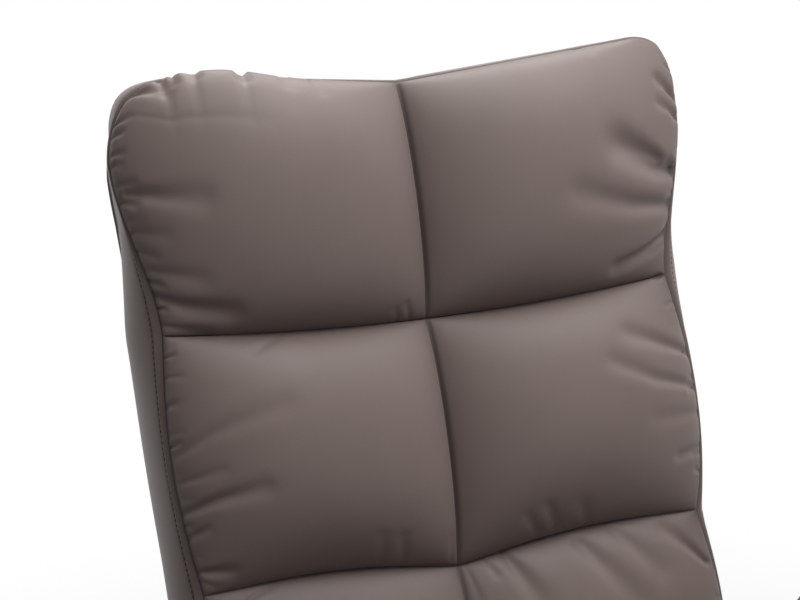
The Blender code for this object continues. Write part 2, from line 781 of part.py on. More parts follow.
def arms():
    bar_foot = CROSS_TOP + SEAT_GAP
    pad_foot = CROSS_TOP + ARM_PAD_LIFT
    bar = ribbon(arm_path(bar_foot), ARM_BAR / 2)
    channel = ribbon(arm_path(bar_foot), ARM_BAR / 2 + SEAT_GAP)
    padding = ribbon(arm_path(pad_foot), ARM_THICKNESS / 2)
    for side, where in SIDES:
        place = (side * ARM_X, 0, 0)
        flat(f"arm_bar_{where}", BLACK_STEEL, [bar], ARM_BAR_WIDTH, swivel, place, ALONG_X)
        arm = flat(
            f"arm_pad_{where}", LEATHER, [padding], ARM_WIDTH, swivel, place, ALONG_X, rounding=ARM_ROUND
        )
        width = ARM_BAR_WIDTH + 2 * SEAT_GAP
        core = flat(f"arm_channel_{where}", LEATHER, [channel], width, swivel, place, ALONG_X)
        boolean(meshed(arm), meshed(core), "DIFFERENCE")


# Back


def back_outline(across, up, ear=1.0, inset=0.0):
    """(x, height) on the back for a place across, from -1 to 1, and a share of the way up from the hem.
    ear scales how far the top corners flare, and inset shrinks the outline."""
    height = BACK_HEIGHT * up
    waist = sum(BACK_ROWS[:2])
    half = BACK_HALF_HEM + (BACK_HALF_WAIST - BACK_HALF_HEM) * min(1.0, height / waist)
    below = 0.0
    for row in BACK_ROWS[:2]:
        half += SIDE_BULGE * math.sin(math.pi * min(max((height - below) / row, 0.0), 1.0))
        below += row
    climb = (height - waist) / (BACK_HEIGHT - EAR_DROP - waist)
    climb = min(max(climb, 0.0), 1.0)
    half += ear * EAR_FLARE * climb * climb * (3 - 2 * climb)
    x, z = rounded_corner(across * half, height, half, BACK_HEIGHT, EAR_CORNER)
    z += TOP_DIP * up**0.35 * across * across
    x -= inset * x / half
    z += inset * (1 - 2 * z / BACK_HEIGHT)
    return x, z


def back_cushion():
    limits = [sum(BACK_ROWS[:i]) / BACK_HEIGHT for i in range(len(BACK_ROWS) + 1)]

    def face(share_x, share_z):
        across, a = spread(share_x, (-1.0, 0.0, 1.0))
        up, b = spread(share_z, limits)
        x, z = back_outline(across, up)
        row = min(int(share_z * len(BACK_ROWS) + 1e-6), len(BACK_ROWS) - 1)
        crown = BACK_CROWN[row] * (math.sin(a) * math.sin(b)) ** 0.6
        return x, z, BACK_SEAM + BACK_WING * across**2 + crown

    mesh = pad("back_cushion", 16, 21, face, 0.002)
    place = (0, -BACK_FACE - SEAT_GAP, BACK_HEM)
    add("back_cushion", mesh, LEATHER, recline, place, FACING_FRONT)


def back_shell():
    """The side band and rear cover: border loops carried back from the front seam, then given a wall."""
    across_steps, up_steps = 10, 14
    walk = [(-1 + 2 * i / across_steps, 0.0) for i in range(across_steps)]
    walk += [(1.0, i / up_steps) for i in range(up_steps)]
    walk += [(1 - 2 * i / across_steps, 1.0) for i in range(across_steps)]
    walk += [(-1.0, 1 - i / up_steps) for i in range(up_steps)]
    loops = (
        (0.0, 1.0, 0.002),
        (0.25, 0.75, -SHELL_BULGE),
        (0.65, 0.45, -SHELL_BULGE / 2),
        (0.92, 0.30, 0.010),
        (1.0, 0.30, 0.032),
    )
    bm = bmesh.new()
    rim = [bm.verts.new((*back_outline(s, t, *loops[0][1:]), 0)) for s, t in walk]
    border = [bm.edges.new((a, b)) for a, b in zip(rim, rim[1:] + rim[:1])]
    order = {vert: i for i, vert in enumerate(rim)}
    for depth, ear, inset in loops[1:]:
        made = bmesh.ops.extrude_edge_only(bm, edges=border)["geom"]
        border = [part for part in made if isinstance(part, bmesh.types.BMEdge)]
        near = {edge: edge.verts for edge in border}
        fresh = [part for part in made if isinstance(part, bmesh.types.BMVert)]
        links = {vert: next(e.other_vert(vert) for e in vert.link_edges if e not in near) for vert in fresh}
        order = {vert: order[links[vert]] for vert in fresh}
        for vert, i in order.items():
            vert.co = (*back_outline(*walk[i], ear, inset), -depth * SHELL_DEPTH)
    bmesh.ops.contextual_create(bm, geom=border)
    mesh = finish_mesh("back_shell", bm)
    place = (0, -BACK_FACE + SEAT_GAP, BACK_HEM)
    shell = add("back_shell", mesh, LEATHER, recline, place, FACING_FRONT)
    wall = shell.modifiers.new("wall", "SOLIDIFY")
    wall.thickness = SHELL_WALL
    wall.offset = -1
    notch_in, notch_out = TUBE_X - TUBE_RADIUS - 0.003, HINGE_PLATE_X + PLATE / 2 + 0.003
    deep = BACK_FACE + CRANK_HALF + 0.006
    for side, where in SIDES:
        cutter = box(
            f"frame_notch_{where}",
            LEATHER,
            (notch_out - notch_in, deep, 4 * SHELL_WALL),
            (side * (notch_in + notch_out) / 2, -BACK_FACE - 0.002 + deep / 2, BACK_HEM),
            recline,
        )
        boolean(shell, cutter, "DIFFERENCE")


def back_frame():
    foot = BACK_HEM + 0.002
    corners = [(-TUBE_X, foot), (-TUBE_X, TUBE_TOP), (TUBE_X, TUBE_TOP), (TUBE_X, foot)]
    path = [(x, 0, z) for x, z in bent(corners, TUBE_BEND)]
    tube("back_frame", BLACK_STEEL, path, TUBE_RADIUS, recline, resolution=2, wall=TUBE_WALL)
    reach = TUBE_X - TUBE_RADIUS - SEAT_GAP
    arch = BACK_FACE - SPRING_WIRE - SEAT_GAP
    path = zigzag(-reach, reach, SPRING_SWAY, BACK_SPRING_BENDS, arch)
    for i, share in enumerate(BACK_SPRING_SHARES):
        tube(
            f"back_spring_{i + 1}",
            SPRING_STEEL,
            [(along, -rise, aside) for along, aside, rise in path],
            SPRING_WIRE,
            recline,
            (0, 0, BACK_HEM + BACK_HEIGHT * share),
            resolution=0,
        )


# Recline linkage


def recline_linkage():
    hole = PIN_RADIUS + RUNNING_GAP
    pin_hole = LINK_PIN_RADIUS + RUNNING_GAP
    level = RAIL_Z + RAIL_HEIGHT / 2 - BRACKET_LOW
    line = [(HINGE_Y - BRACKET_REACH, level), (HINGE_Y - BRACKET_ELBOW, level), (HINGE_Y, HINGE_Z)]
    bracket = ribbon(line, BRACKET_HALF, 8)
    crank = on_back(*crank_offset(CRANK))
    plate = ribbon([crank, (0, 0), (0, HINGE_ARM)], CRANK_HALF, 8)
    for side, where in SIDES:
        flat(
            f"recline_bracket_{where}",
            BLACK_STEEL,
            [bracket, circle((HINGE_Y, HINGE_Z), hole)],
            PLATE,
            swivel,
            (side * BRACKET_X, 0, 0),
            ALONG_X,
        )
        flat(
            f"back_hinge_plate_{where}",
            BLACK_STEEL,
            [plate, circle((0, 0), hole), circle(crank, pin_hole)],
            PLATE,
            recline,
            (side * HINGE_PLATE_X, 0, 0),
            ALONG_X,
        )
        pair = (BRACKET_X + HINGE_PLATE_X) / 2
        span = BRACKET_X - HINGE_PLATE_X + PLATE
        rivet(f"hinge_pin_{where}", ZINC, PIN_RADIUS, span, (side * pair, 0, 0), recline)
        pair = (HINGE_PLATE_X + LINK_X) / 2
        span = HINGE_PLATE_X - LINK_X + PLATE
        centre = (side * pair, *crank)
        rivet(f"crank_pin_{where}", ZINC, LINK_PIN_RADIUS, span, centre, recline, head=0.007)
    bar = on_back(*crank_offset(CRANK_BAR_REACH))
    length = 2 * (HINGE_PLATE_X - PLATE / 2 - SEAT_GAP)
    rod("crank_bar", ZINC, CRANK_BAR_RADIUS, length, (0, *bar), recline, (0, math.pi / 2, 0))


def links():
    """One link a side, from the back's crank to the footrest's, with a slot in front for their unlike arcs."""
    rear = crank_offset(CRANK)
    rear_y, rear_z = HINGE_Y + rear[0], HINGE_Z + rear[1]
    front_y = FOOT_HINGE_Y + FOOT_CRANK * math.sin(HALF_SWING)
    sink = (FOOT_CRANK * (1 - math.cos(HALF_SWING)) - CRANK * (1 - math.cos(HALF_RECLINE))) / 2
    front = (front_y - rear_y, -sink)
    outlines = [
        gusset([((0, 0), LINK_EYE), (front, LINK_EYE + LINK_SLOT)]),
        circle((0, 0), LINK_PIN_RADIUS + RUNNING_GAP),
        slot(front, LINK_PIN_RADIUS + LINK_SLOT_SIDE, LINK_SLOT),
    ]
    for side, where in SIDES:
        axis = pivot(f"link_axis_{where}", (side * LINK_X, rear_y, rear_z), swivel)
        flat(f"link_{where}", ZINC, outlines, PLATE, axis, turn=ALONG_X)


def gas_spring():
    anchor_y = CROSS_FRONT_Y + CROSS_WIDTH / 2
    front = anchor_y + PLATE + SEAT_GAP
    turned(
        "gas_cylinder",
        BLACK_STEEL,
        [
            (0, GAS_BORE_FLOOR),
            (GAS_ROD_RADIUS + RUNNING_GAP, GAS_BORE_FLOOR),
            (GAS_ROD_RADIUS + RUNNING_GAP, GAS_LENGTH),
            (GAS_RADIUS - 0.002, GAS_LENGTH),
            (GAS_RADIUS, GAS_LENGTH - 0.004),
            (GAS_RADIUS, 0.002),
            (GAS_RADIUS - 0.002, 0),
            (0, 0),
        ],
        swivel,
        (GAS_X, front, GAS_Z),
        (-math.pi / 2, 0, 0),
        steps=20,
    )
    low, high = CROSS_TOP + SEAT_GAP, GAS_Z + GAS_RADIUS
    bracket = [
        (anchor_y - CROSS_WIDTH, low),
        (anchor_y + PLATE, low),
        (anchor_y + PLATE, high),
        (anchor_y, high),
        (anchor_y, low + PLATE),
        (anchor_y - CROSS_WIDTH, low + PLATE),
    ]
    flat("gas_anchor", BLACK_STEEL, [bracket], ANCHOR_WIDTH, swivel, (GAS_X, 0, 0), ALONG_X)

    bar_y = HINGE_Y + crank_offset(CRANK_BAR_REACH)[0]
    eye_radius = CRANK_BAR_RADIUS + 0.001
    axis = pivot("gas_rod_axis", (GAS_X, bar_y, GAS_Z), swivel)
    eye = flat(
        "gas_rod",
        ZINC,
        [slot((0, 0), eye_radius + GAS_EYE, GAS_SLOT), slot((0, 0), eye_radius, GAS_SLOT)],
        GAS_EYE_WIDTH,
        axis,
        turn=ALONG_X,
    )
    eye = meshed(eye)
    reach = bar_y - (front + GAS_LENGTH) + GAS_ROD_HOLD
    start = eye_radius + GAS_EYE / 2
    shank = rod(
        "gas_shank",
        ZINC,
        GAS_ROD_RADIUS,
        reach - start,
        (0, -(reach + start) / 2, 0),
        axis,
        (math.pi / 2, 0, 0),
        sides=16,
    )
    boolean(eye, shank, "UNION")


def release_lever():
    rail_low = RAIL_Z - SEAT_GAP
    drop = LEVER_DROP + LEVER_RADIUS
    inner = LEVER_RADIUS + RUNNING_GAP
    outer = inner + LEVER_EAR
    low = rail_low - drop
    under = LEVER_Z + LEVER_RADIUS + 0.005
    channel = [
        (-outer, rail_low),
        (-outer, low),
        (-inner, low),
        (-inner, under),
        (inner, under),
        (inner, low),
        (outer, low),
        (outer, rail_low),
    ]
    bracket = flat(
        "lever_bracket",
        BLACK_STEEL,
        [channel],
        LEVER_BRACKET_WIDTH,
        swivel,
        (LEVER_PIVOT_X, LEVER_Y, 0),
        ALONG_X,
    )
    bore = rod(
        "lever_bore",
        ZINC,
        LEVER_PIVOT_RADIUS + RUNNING_GAP,
        4 * outer,
        (LEVER_PIVOT_X, LEVER_Y, LEVER_Z),
        swivel,
        (math.pi / 2, 0, 0),
    )
    boolean(meshed(bracket), bore, "DIFFERENCE")

    inner_end = LEVER_INNER_X - LEVER_PIVOT_X
    outer_end = LEVER_OUTER_X + GRIP_CLOSED_END + SEAT_GAP - LEVER_PIVOT_X
    stem = rod(
        "lever_rod",
        ZINC,
        LEVER_RADIUS,
        inner_end - outer_end,
        ((inner_end + outer_end) / 2, 0, 0),
        lever,
        (0, math.pi / 2, 0),
    )
    pin = rod(
        "lever_pin", ZINC, LEVER_PIVOT_RADIUS, 2 * (outer + 0.001), (0, 0, 0), lever, (math.pi / 2, 0, 0), sides=12
    )
    boolean(stem, pin, "UNION")

    bore_radius = LEVER_RADIUS + SEAT_GAP
    grip = [(bore_radius, GRIP_LENGTH)]
    for i in range(6):
        t = i / 5
        swell = 0.72 + 0.28 * math.sin(math.pi * (0.12 + 0.8 * t))
        grip.append((GRIP_RADIUS * swell, GRIP_LENGTH - 0.002 - t * (GRIP_LENGTH - 0.005)))
    grip += [(GRIP_RADIUS * 0.6, 0), (0, 0)]
    profile = [(0, GRIP_CLOSED_END), (bore_radius, GRIP_CLOSED_END), *grip]
    turned(
        "lever_grip",
        PLASTIC,
        profile,
        lever,
        (LEVER_OUTER_X - LEVER_PIVOT_X, 0, 0),
        (0, math.pi / 2, 0),
        steps=16,
    )


# Footrest


def footrest_unit():
    hole = PIN_RADIUS + RUNNING_GAP
    pin_hole = LINK_PIN_RADIUS + RUNNING_GAP
    crank = (FOOT_CRANK * math.sin(HALF_SWING), -FOOT_CRANK * math.cos(HALF_SWING))
    arm = gusset([((0, 0), CRANK_HALF), (crank, CRANK_HALF), ((0, -FOOT_ARM_LENGTH), CRANK_HALF)])
    level = RAIL_TOP - FRONT_RAIL_HEIGHT / 2 - FOOT_BRACKET_LOW
    line = [(RAIL_FRONT_Y + FOOT_BRACKET_REACH, level), (RAIL_FRONT_Y, level), (FOOT_HINGE_Y, FOOT_HINGE_Z)]
    bracket = ribbon(line, FOOT_BRACKET_HALF, 8)
    for side, where in SIDES:
        flat(
            f"footrest_bracket_{where}",
            BLACK_STEEL,
            [bracket, circle((FOOT_HINGE_Y, FOOT_HINGE_Z), hole)],
            PLATE,
            swivel,
            (side * BRACKET_X, 0, 0),
            ALONG_X,
        )
        flat(
            f"footrest_arm_{where}",
            BLACK_STEEL,
            [arm, circle((0, 0), hole), circle(crank, pin_hole)],
            PLATE,
            footrest,
            (side * HINGE_PLATE_X, 0, 0),
            ALONG_X,
        )
        pair = (BRACKET_X + HINGE_PLATE_X) / 2
        span = BRACKET_X - HINGE_PLATE_X + PLATE
        rivet(f"footrest_pin_{where}", ZINC, PIN_RADIUS, span, (side * pair, 0, 0), footrest)
        pair = (HINGE_PLATE_X + LINK_X) / 2
        span = HINGE_PLATE_X - LINK_X + PLATE
        centre = (side * pair, *crank)
        rivet(f"footrest_link_pin_{where}", ZINC, LINK_PIN_RADIUS, span, centre, footrest, head=0.007)

    board_y = -CRANK_HALF - SEAT_GAP
    middle = -FOOT_PAD_TOP - FOOT_PAD_LENGTH / 2
    box(
        "footrest_board",
        WOOD,
        (2 * (FOOT_HALF_WIDTH - FOOT_BOARD_INSET), FOOT_BOARD, FOOT_PAD_LENGTH - 2 * FOOT_BOARD_INSET),
        (0, board_y - FOOT_BOARD / 2, middle),
        footrest,
        0.002,
    )

    def face(share_x, share_z):
        across, a = spread(share_x, (-1.0, 0.0, 1.0))
        up, b = spread(share_z, (-1.0, 1.0))
        half = FOOT_PAD_LENGTH / 2
        x, z = rounded_corner(across * FOOT_HALF_WIDTH, abs(up) * half, FOOT_HALF_WIDTH, half, FOOT_CORNER)
        return x, math.copysign(z, up), FOOT_EDGE + FOOT_CROWN * (math.sin(a) * math.sin(b)) ** 0.6

    mesh = pad("footrest_pad", 16, 8, face, 0.003)
    place = (0, board_y - FOOT_BOARD - SEAT_GAP, middle)
    add("footrest_pad", mesh, LEATHER, footrest, place, FACING_FRONT)


floor_stand()
swivel_unit()
seat_frame()
seat_springs()
seat_cushion()
arms()
back_cushion()
back_shell()
back_frame()
recline_linkage()
links()
gas_spring()
release_lever()
footrest_unit()
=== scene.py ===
import json
import math

import bpy
import numpy as np
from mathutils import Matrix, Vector


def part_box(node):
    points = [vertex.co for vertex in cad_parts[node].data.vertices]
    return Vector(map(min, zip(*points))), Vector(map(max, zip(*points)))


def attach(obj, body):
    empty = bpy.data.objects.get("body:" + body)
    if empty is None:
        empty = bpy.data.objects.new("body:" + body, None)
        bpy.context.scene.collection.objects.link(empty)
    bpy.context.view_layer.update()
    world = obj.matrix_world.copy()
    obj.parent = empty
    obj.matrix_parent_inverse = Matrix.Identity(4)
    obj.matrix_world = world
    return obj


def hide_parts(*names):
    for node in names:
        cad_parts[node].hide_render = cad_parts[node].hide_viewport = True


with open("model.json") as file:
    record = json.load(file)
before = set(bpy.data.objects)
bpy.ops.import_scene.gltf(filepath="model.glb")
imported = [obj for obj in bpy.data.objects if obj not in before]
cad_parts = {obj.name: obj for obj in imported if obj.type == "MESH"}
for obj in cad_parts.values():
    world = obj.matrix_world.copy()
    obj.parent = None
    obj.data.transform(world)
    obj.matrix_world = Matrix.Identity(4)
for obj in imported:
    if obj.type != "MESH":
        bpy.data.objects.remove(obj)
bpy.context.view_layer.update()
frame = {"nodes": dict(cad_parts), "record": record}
print("frame loaded")


# shader maths: a Wire is one socket, and arithmetic on it adds Math nodes

class Wire:
    def __init__(self, tree, socket=None):
        self.tree, self.socket = tree, socket

    def feed(self, target, value):
        if isinstance(value, Wire):
            self.tree.links.new(value.socket, target)
        else:
            target.default_value = value

    # any node: its type, its settings, then the values or wires of its sockets by name or number
    def node(self, kind, settings=None, inputs=None, out=0):
        made = self.tree.nodes.new("ShaderNode" + kind)
        for key, value in (settings or {}).items():
            setattr(made, key, value)
        for key, value in (inputs or {}).items():
            self.feed(made.inputs[key], value)
        return Wire(self.tree, made.outputs[out])

    def math(self, operation, first, second):
        return self.node("Math", {"operation": operation}, {0: first, 1: second})

    def __add__(self, other):
        return self.math("ADD", self, other)

    def __radd__(self, other):
        return self.math("ADD", other, self)

    def __sub__(self, other):
        return self.math("SUBTRACT", self, other)

    def __mul__(self, other):
        return self.math("MULTIPLY", self, other)

    def clip(self):
        return self.node("Clamp", None, {0: self})

    def between(self, low, high):  # 0 below low, 1 above high, eased
        return self.node("MapRange", {"interpolation_type": "SMOOTHSTEP"}, {0: self, 1: low, 2: high})

    def mix(self, first, second):  # colours, by this factor
        return self.node("Mix", {"data_type": "RGBA"}, {0: self, 6: first, 7: second}, out=2)


def srgb(*levels):  # 0-255 display levels to linear light
    c = np.array(levels) / 255
    return (*np.where(c < 0.04045, c / 12.92, ((c + 0.055) / 1.055) ** 2.4), 1.0)


def newMaterial(name, **fixed):
    made = bpy.data.materials.new(name)
    made.use_nodes = True
    shader = made.node_tree.nodes["Principled BSDF"]
    for key, value in fixed.items():
        shader.inputs[key.replace("_", " ")].default_value = value
    return made, shader.inputs, Wire(made.node_tree)


def objectSpace(paint):
    return paint.node("TexCoord", out=3)


def noise(paint, where, scale, detail=2.0, roughness=0.5):
    values = {"Vector": where, "Scale": scale, "Detail": detail, "Roughness": roughness}
    return paint.node("TexNoise", None, values)


def bump(paint, height, strength, distance):
    return paint.node("Bump", None, {"Height": height, "Strength": strength, "Distance": distance})


# upholstery: satin coated cloth with a pressed grain; its colour is painted darker where it sinks into a
# seam, as shade
upholstery = dict(
    colour=(103, 90, 86), paintedShade=(44, 35, 30), paintedShadeShare=0.85, driftScale=9.0, driftShare=0.25,
    roughness=0.50, roughDrift=0.10, roughGrain=0.03, roughSunk=0.12, specular=0.24, sheen=0.06,
    grainCells=620, grainEdge=0.16, grainShare=0.7, fineScale=1500.0, grainHeight=0.00010, grainStrength=0.35,
)


def makeLeather():
    f = upholstery
    made, sockets, paint = newMaterial("taupeUpholstery", Specular_IOR_Level=f["specular"],
                                       Sheen_Weight=f["sheen"], Sheen_Roughness=0.5)
    where = objectSpace(paint)
    drift = noise(paint, where, f["driftScale"], 3.0)
    cells = paint.node("TexVoronoi", {"feature": "DISTANCE_TO_EDGE"},
                       {"Vector": where, "Scale": f["grainCells"]})
    pebbles = cells.between(0.0, f["grainEdge"])
    fine = noise(paint, where, f["fineScale"], 2.0)
    # painted shade: the mask from the mesh darkens the colour towards the shade colour beside the seams,
    # added to a random drift in tone
    paintedShade = paint.node("Attribute", {"attribute_name": "paintedShade"}, out=2)
    tone = (paintedShade * f["paintedShadeShare"] + (drift - 0.5) * f["driftShare"]).clip()
    paint.feed(sockets["Base Color"], tone.mix(srgb(*f["colour"]), srgb(*f["paintedShade"])))
    rough = f["roughness"] + (drift - 0.5) * f["roughDrift"] - pebbles * f["roughGrain"]
    paint.feed(sockets["Roughness"], rough + paintedShade * f["roughSunk"])
    height = pebbles * f["grainShare"] + fine * (1 - f["grainShare"])
    paint.feed(sockets["Normal"], bump(paint, height, f["grainStrength"], f["grainHeight"]))
    return made


def makeThread():
    made, sockets, paint = newMaterial("taupeThread", Roughness=0.7)
    where = objectSpace(paint)
    strand = paint.node("TexWave", {"bands_direction": "DIAGONAL"}, {"Vector": where, "Scale": 700.0})
    paint.feed(sockets["Base Color"], (strand * 0.5).mix(srgb(70, 60, 56), srgb(46, 39, 36)))
    return made


leather = makeLeather()
thread = makeThread()


# metals, wood, rubber and plastic for the CAD nodes
def makeMetal(name, colour, roughness, smear, metallic=1.0, grain=0.0):
    made, sockets, paint = newMaterial(name, Metallic=metallic)
    where = objectSpace(paint)
    film = noise(paint, where, 14.0, 4.0, 0.6)
    spots = noise(paint, where, 900.0, 2.0)
    shade = tuple(0.90 * c for c in colour[:3]) + (1.0,)
    paint.feed(sockets["Base Color"], film.between(0.35, 0.75).mix(colour, shade))
    paint.feed(sockets["Roughness"], roughness + (film - 0.5) * smear + (spots - 0.5) * grain * 0.2)
    if grain:
        paint.feed(sockets["Normal"], bump(paint, spots, grain, 0.0001))
    return made


def makePine(name, turn):  # the grain runs along Y, or along X when turned
    made, sockets, paint = newMaterial(name)
    where = paint.node("Mapping", None, {"Vector": objectSpace(paint), "Rotation": (0.0, 0.0, turn)})
    along = paint.node("Mapping", None, {"Vector": where, "Scale": (60.0, 5.0, 60.0)})
    rings = paint.node("TexWave", {"bands_direction": "Z", "wave_profile": "SAW"},
                       {"Vector": along, "Scale": 0.55, "Distortion": 7.0, "Detail": 3.0})
    strands = paint.node("Mapping", None, {"Vector": where, "Scale": (900.0, 30.0, 900.0)})
    fibres = noise(paint, strands, 1.0, 3.0)
    tone = (rings * 0.6 + fibres * 0.4).clip()
    paint.feed(sockets["Base Color"], tone.mix(srgb(200, 170, 130), srgb(160, 124, 86)))
    paint.feed(sockets["Roughness"], 0.55 + tone * 0.15)
    paint.feed(sockets["Normal"], bump(paint, fibres, 0.25, 0.0003))
    return made


def makeMatte(name, colour, roughness, cells, depth):
    made, sockets, paint = newMaterial(name)
    where = objectSpace(paint)
    pits = paint.node("TexVoronoi", None, {"Vector": where, "Scale": cells})
    dust = noise(paint, where, 30.0, 4.0)
    worn = tuple(min(1.0, 2.2 * c) for c in colour[:3]) + (1.0,)
    paint.feed(sockets["Base Color"], (dust.between(0.5, 0.9) * 0.5).mix(colour, worn))
    paint.feed(sockets["Roughness"], roughness + (dust - 0.5) * 0.15)
    paint.feed(sockets["Normal"], bump(paint, pits, 0.4, depth))
    return made


finishes = {
    "taupe_faux_leather": leather,
    "chromed_steel": makeMetal("chromedSteel", (0.66, 0.66, 0.67, 1), 0.07, 0.03),
    "black_coated_steel": makeMetal("blackPowderCoat", (0.024, 0.024, 0.026, 1), 0.42, 0.15, 0.0, 0.5),
    "zinc_plated_steel": makeMetal("zincPlate", (0.50, 0.51, 0.52, 1), 0.32, 0.25, 1.0, 0.15),
    "spring_steel": makeMetal("oiledWire", (0.10, 0.10, 0.11, 1), 0.38, 0.25),
    "pine_wood": makePine("planedPine", 0.0),
    "black_rubber": makeMatte("mouldedRubber", (0.020, 0.020, 0.020, 1), 0.85, 700.0, 0.0002),
    "black_plastic": makeMatte("grainedPlastic", (0.024, 0.024, 0.026, 1), 0.50, 1100.0, 0.0001),
}
crossPine = makePine("planedPineAcross", math.pi / 2)
crossBoards = ("seat_rail_front", "seat_rail_rear", "footrest_board")
for part in frame["record"]["subparts"]:
    slots = frame["nodes"][part["node"]].data.materials
    slots.clear()
    slots.append(crossPine if part["node"] in crossBoards else finishes[part["material_slot"]])
print("finishes")


# lines and surfaces

def unit(vectors):  # each to length 1
    return vectors / np.linalg.norm(vectors, axis=-1, keepdims=True)


def runAlong(line):  # length of a line up to each of its points
    return np.concatenate([[0], np.cumsum(np.linalg.norm(np.diff(line, axis=0), axis=1))])


def pointsAt(line, run, at):  # points of a line at the given lengths
    return np.stack([np.interp(at, run, line[:, k]) for k in range(line.shape[1])], -1)


def closedLine(line):
    return np.concatenate([line, line[:1]])


def gridFaces(rows, columns, closed=False):  # quads of a grid whose points run along its rows
    i, j = np.meshgrid(np.arange(rows - 1), np.arange(columns if closed else columns - 1), indexing="ij")
    k = (j + 1) % columns
    low, high = i * columns, (i + 1) * columns
    return np.stack([low + j, low + k, high + k, high + j], -1).reshape(-1, 4)


def buildMesh(name, points, quads, caps=(), paintedShade=None):
    mesh = bpy.data.meshes.new(name)
    points = points.reshape(-1, 3)
    faces = [list(map(int, q)) for q in quads] + [list(map(int, c)) for c in caps]
    mesh.from_pydata(points.tolist(), [], faces)
    mesh.validate()
    # the painted shade mask, one value a point, read by the upholstery colour
    if paintedShade is not None:
        values = mesh.attributes.new("paintedShade", "FLOAT", "POINT").data
        values.foreach_set("value", np.ravel(paintedShade).astype(np.float32))
    mesh.polygons.foreach_set("use_smooth", np.ones(len(mesh.polygons), bool))
    return mesh


def addPiece(name, mesh, material, body, replaced=()):
    piece = bpy.data.objects.new(name, mesh)
    bpy.context.scene.collection.objects.link(piece)
    mesh.materials.append(material)
    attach(piece, body)
    if replaced:
        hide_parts(*replaced)


# Midpoints between the lines of each panel, from the four nearest: (9(b + c) - a - d) / 16 inside, and
# (3a + 6b - c) / 8 at a seam
def refineLines(grid, steps):
    panels = (len(grid) - 1) // steps
    parts = []
    for i in range(panels):
        p = grid[i * steps:(i + 1) * steps + 1]
        middle = np.empty_like(p[:-1])
        middle[1:-1] = (9 * (p[1:-2] + p[2:-1]) - p[:-3] - p[3:]) / 16
        middle[0] = (3 * p[0] + 6 * p[1] - p[2]) / 8
        middle[-1] = (3 * p[-1] + 6 * p[-2] - p[-3]) / 8
        both = np.empty((2 * steps, *p.shape[1:]))
        both[0::2], both[1::2] = p[:-1], middle
        parts.append(both)
    return np.concatenate([*parts, grid[-1:]])


def refine(grid, steps):  # steps of a panel across and up
    return refineLines(refineLines(grid, steps[1]).swapaxes(0, 1), steps[0]).swapaxes(0, 1)


# A closed pad: its face, rings of points that carry the face's border down to the base, and a fan that
# fills the base
def closePad(face, rings):
    rows, columns = face.shape[:2]
    edge = edgeRing(rows, columns)
    n, m = rows * columns, len(edge)
    lines = np.concatenate([edge[None], n + np.arange(len(rings) * m).reshape(-1, m)])
    turn = np.roll(lines, -1, 1)
    sides = np.stack([lines[:-1], lines[1:], turn[1:], turn[:-1]], -1).reshape(-1, 4)
    fan = np.stack([lines[-1], np.full(m, n + len(rings) * m), turn[-1]], -1)
    points = np.concatenate([face.reshape(-1, 3), rings.reshape(-1, 3), rings[-1].mean(0, keepdims=True)])
    return points, np.concatenate([gridFaces(rows, columns), sides]), fan


# Boxing: runs from the border down to the base at height 0 as q goes from 0 to 1, swollen outward by
# bulge sin(pi q)^0.6 and drawn in near the base by tuck q^6
def boxing(border, bulge, tuck, rows):
    tangent = np.roll(border, -1, 0) - np.roll(border, 1, 0)
    outward = unit(np.stack([tangent[:, 1], -tangent[:, 0], 0 * tangent[:, 0]], -1))
    q = np.linspace(0, 1, rows + 1)[1:, None, None]
    swell = bulge * np.sin(math.pi * np.minimum(q, 0.999)) ** 0.6 - tuck * q ** 6
    down = border[None, :, :2] + outward[None, :, :2] * swell
    height = border[None, :, 2:] * (1 - q)
    return np.concatenate([down, height], -1), outward


# Cloth under pressure: a sheet held at its sewn points swells, by no more than cap
clothForm = dict(pressure=3.0, stiffness=20.0, bending=6.0, mass=0.3, airDamping=2.0, quality=6, frames=20)


def inflate(points, quads, sewn, cap):
    f = clothForm
    mesh = bpy.data.meshes.new("sheet")
    mesh.from_pydata(points.reshape(-1, 3).tolist(), [], quads.tolist())
    sheet = bpy.data.objects.new("sheet", mesh)
    bpy.context.scene.collection.objects.link(sheet)
    sheet.vertex_groups.new(name="sewn").add(np.flatnonzero(sewn.ravel()).tolist(), 1.0, "REPLACE")
    cloth = sheet.modifiers.new("cloth", "CLOTH")
    cloth.collision_settings.use_collision = False
    cloth.point_cache.frame_end = f["frames"]
    rules = cloth.settings
    rules.quality = f["quality"]
    rules.mass = f["mass"]
    rules.tension_stiffness = f["stiffness"]
    rules.compression_stiffness = f["stiffness"]
    rules.shear_stiffness = f["stiffness"] / 3
    rules.bending_stiffness = f["bending"]
    rules.air_damping = f["airDamping"]
    rules.use_pressure = True
    rules.uniform_pressure_force = f["pressure"]
    rules.vertex_group_mass = "sewn"
    rules.effector_weights.gravity = 0.0
    for step in range(1, f["frames"] + 1):
        bpy.context.scene.frame_set(step)
    swollen = sheet.evaluated_get(bpy.context.evaluated_depsgraph_get()).data
    found = np.empty(len(mesh.vertices) * 3)
    swollen.vertices.foreach_get("co", found)
    bpy.data.objects.remove(sheet)
    move = found.reshape(points.shape) - points
    reach = np.linalg.norm(move, axis=-1, keepdims=True)
    print("  cloth moved up to %.1f mm" % (1000 * reach.max()))
    return points + move * np.minimum(1.0, cap / np.maximum(reach, 1e-9))


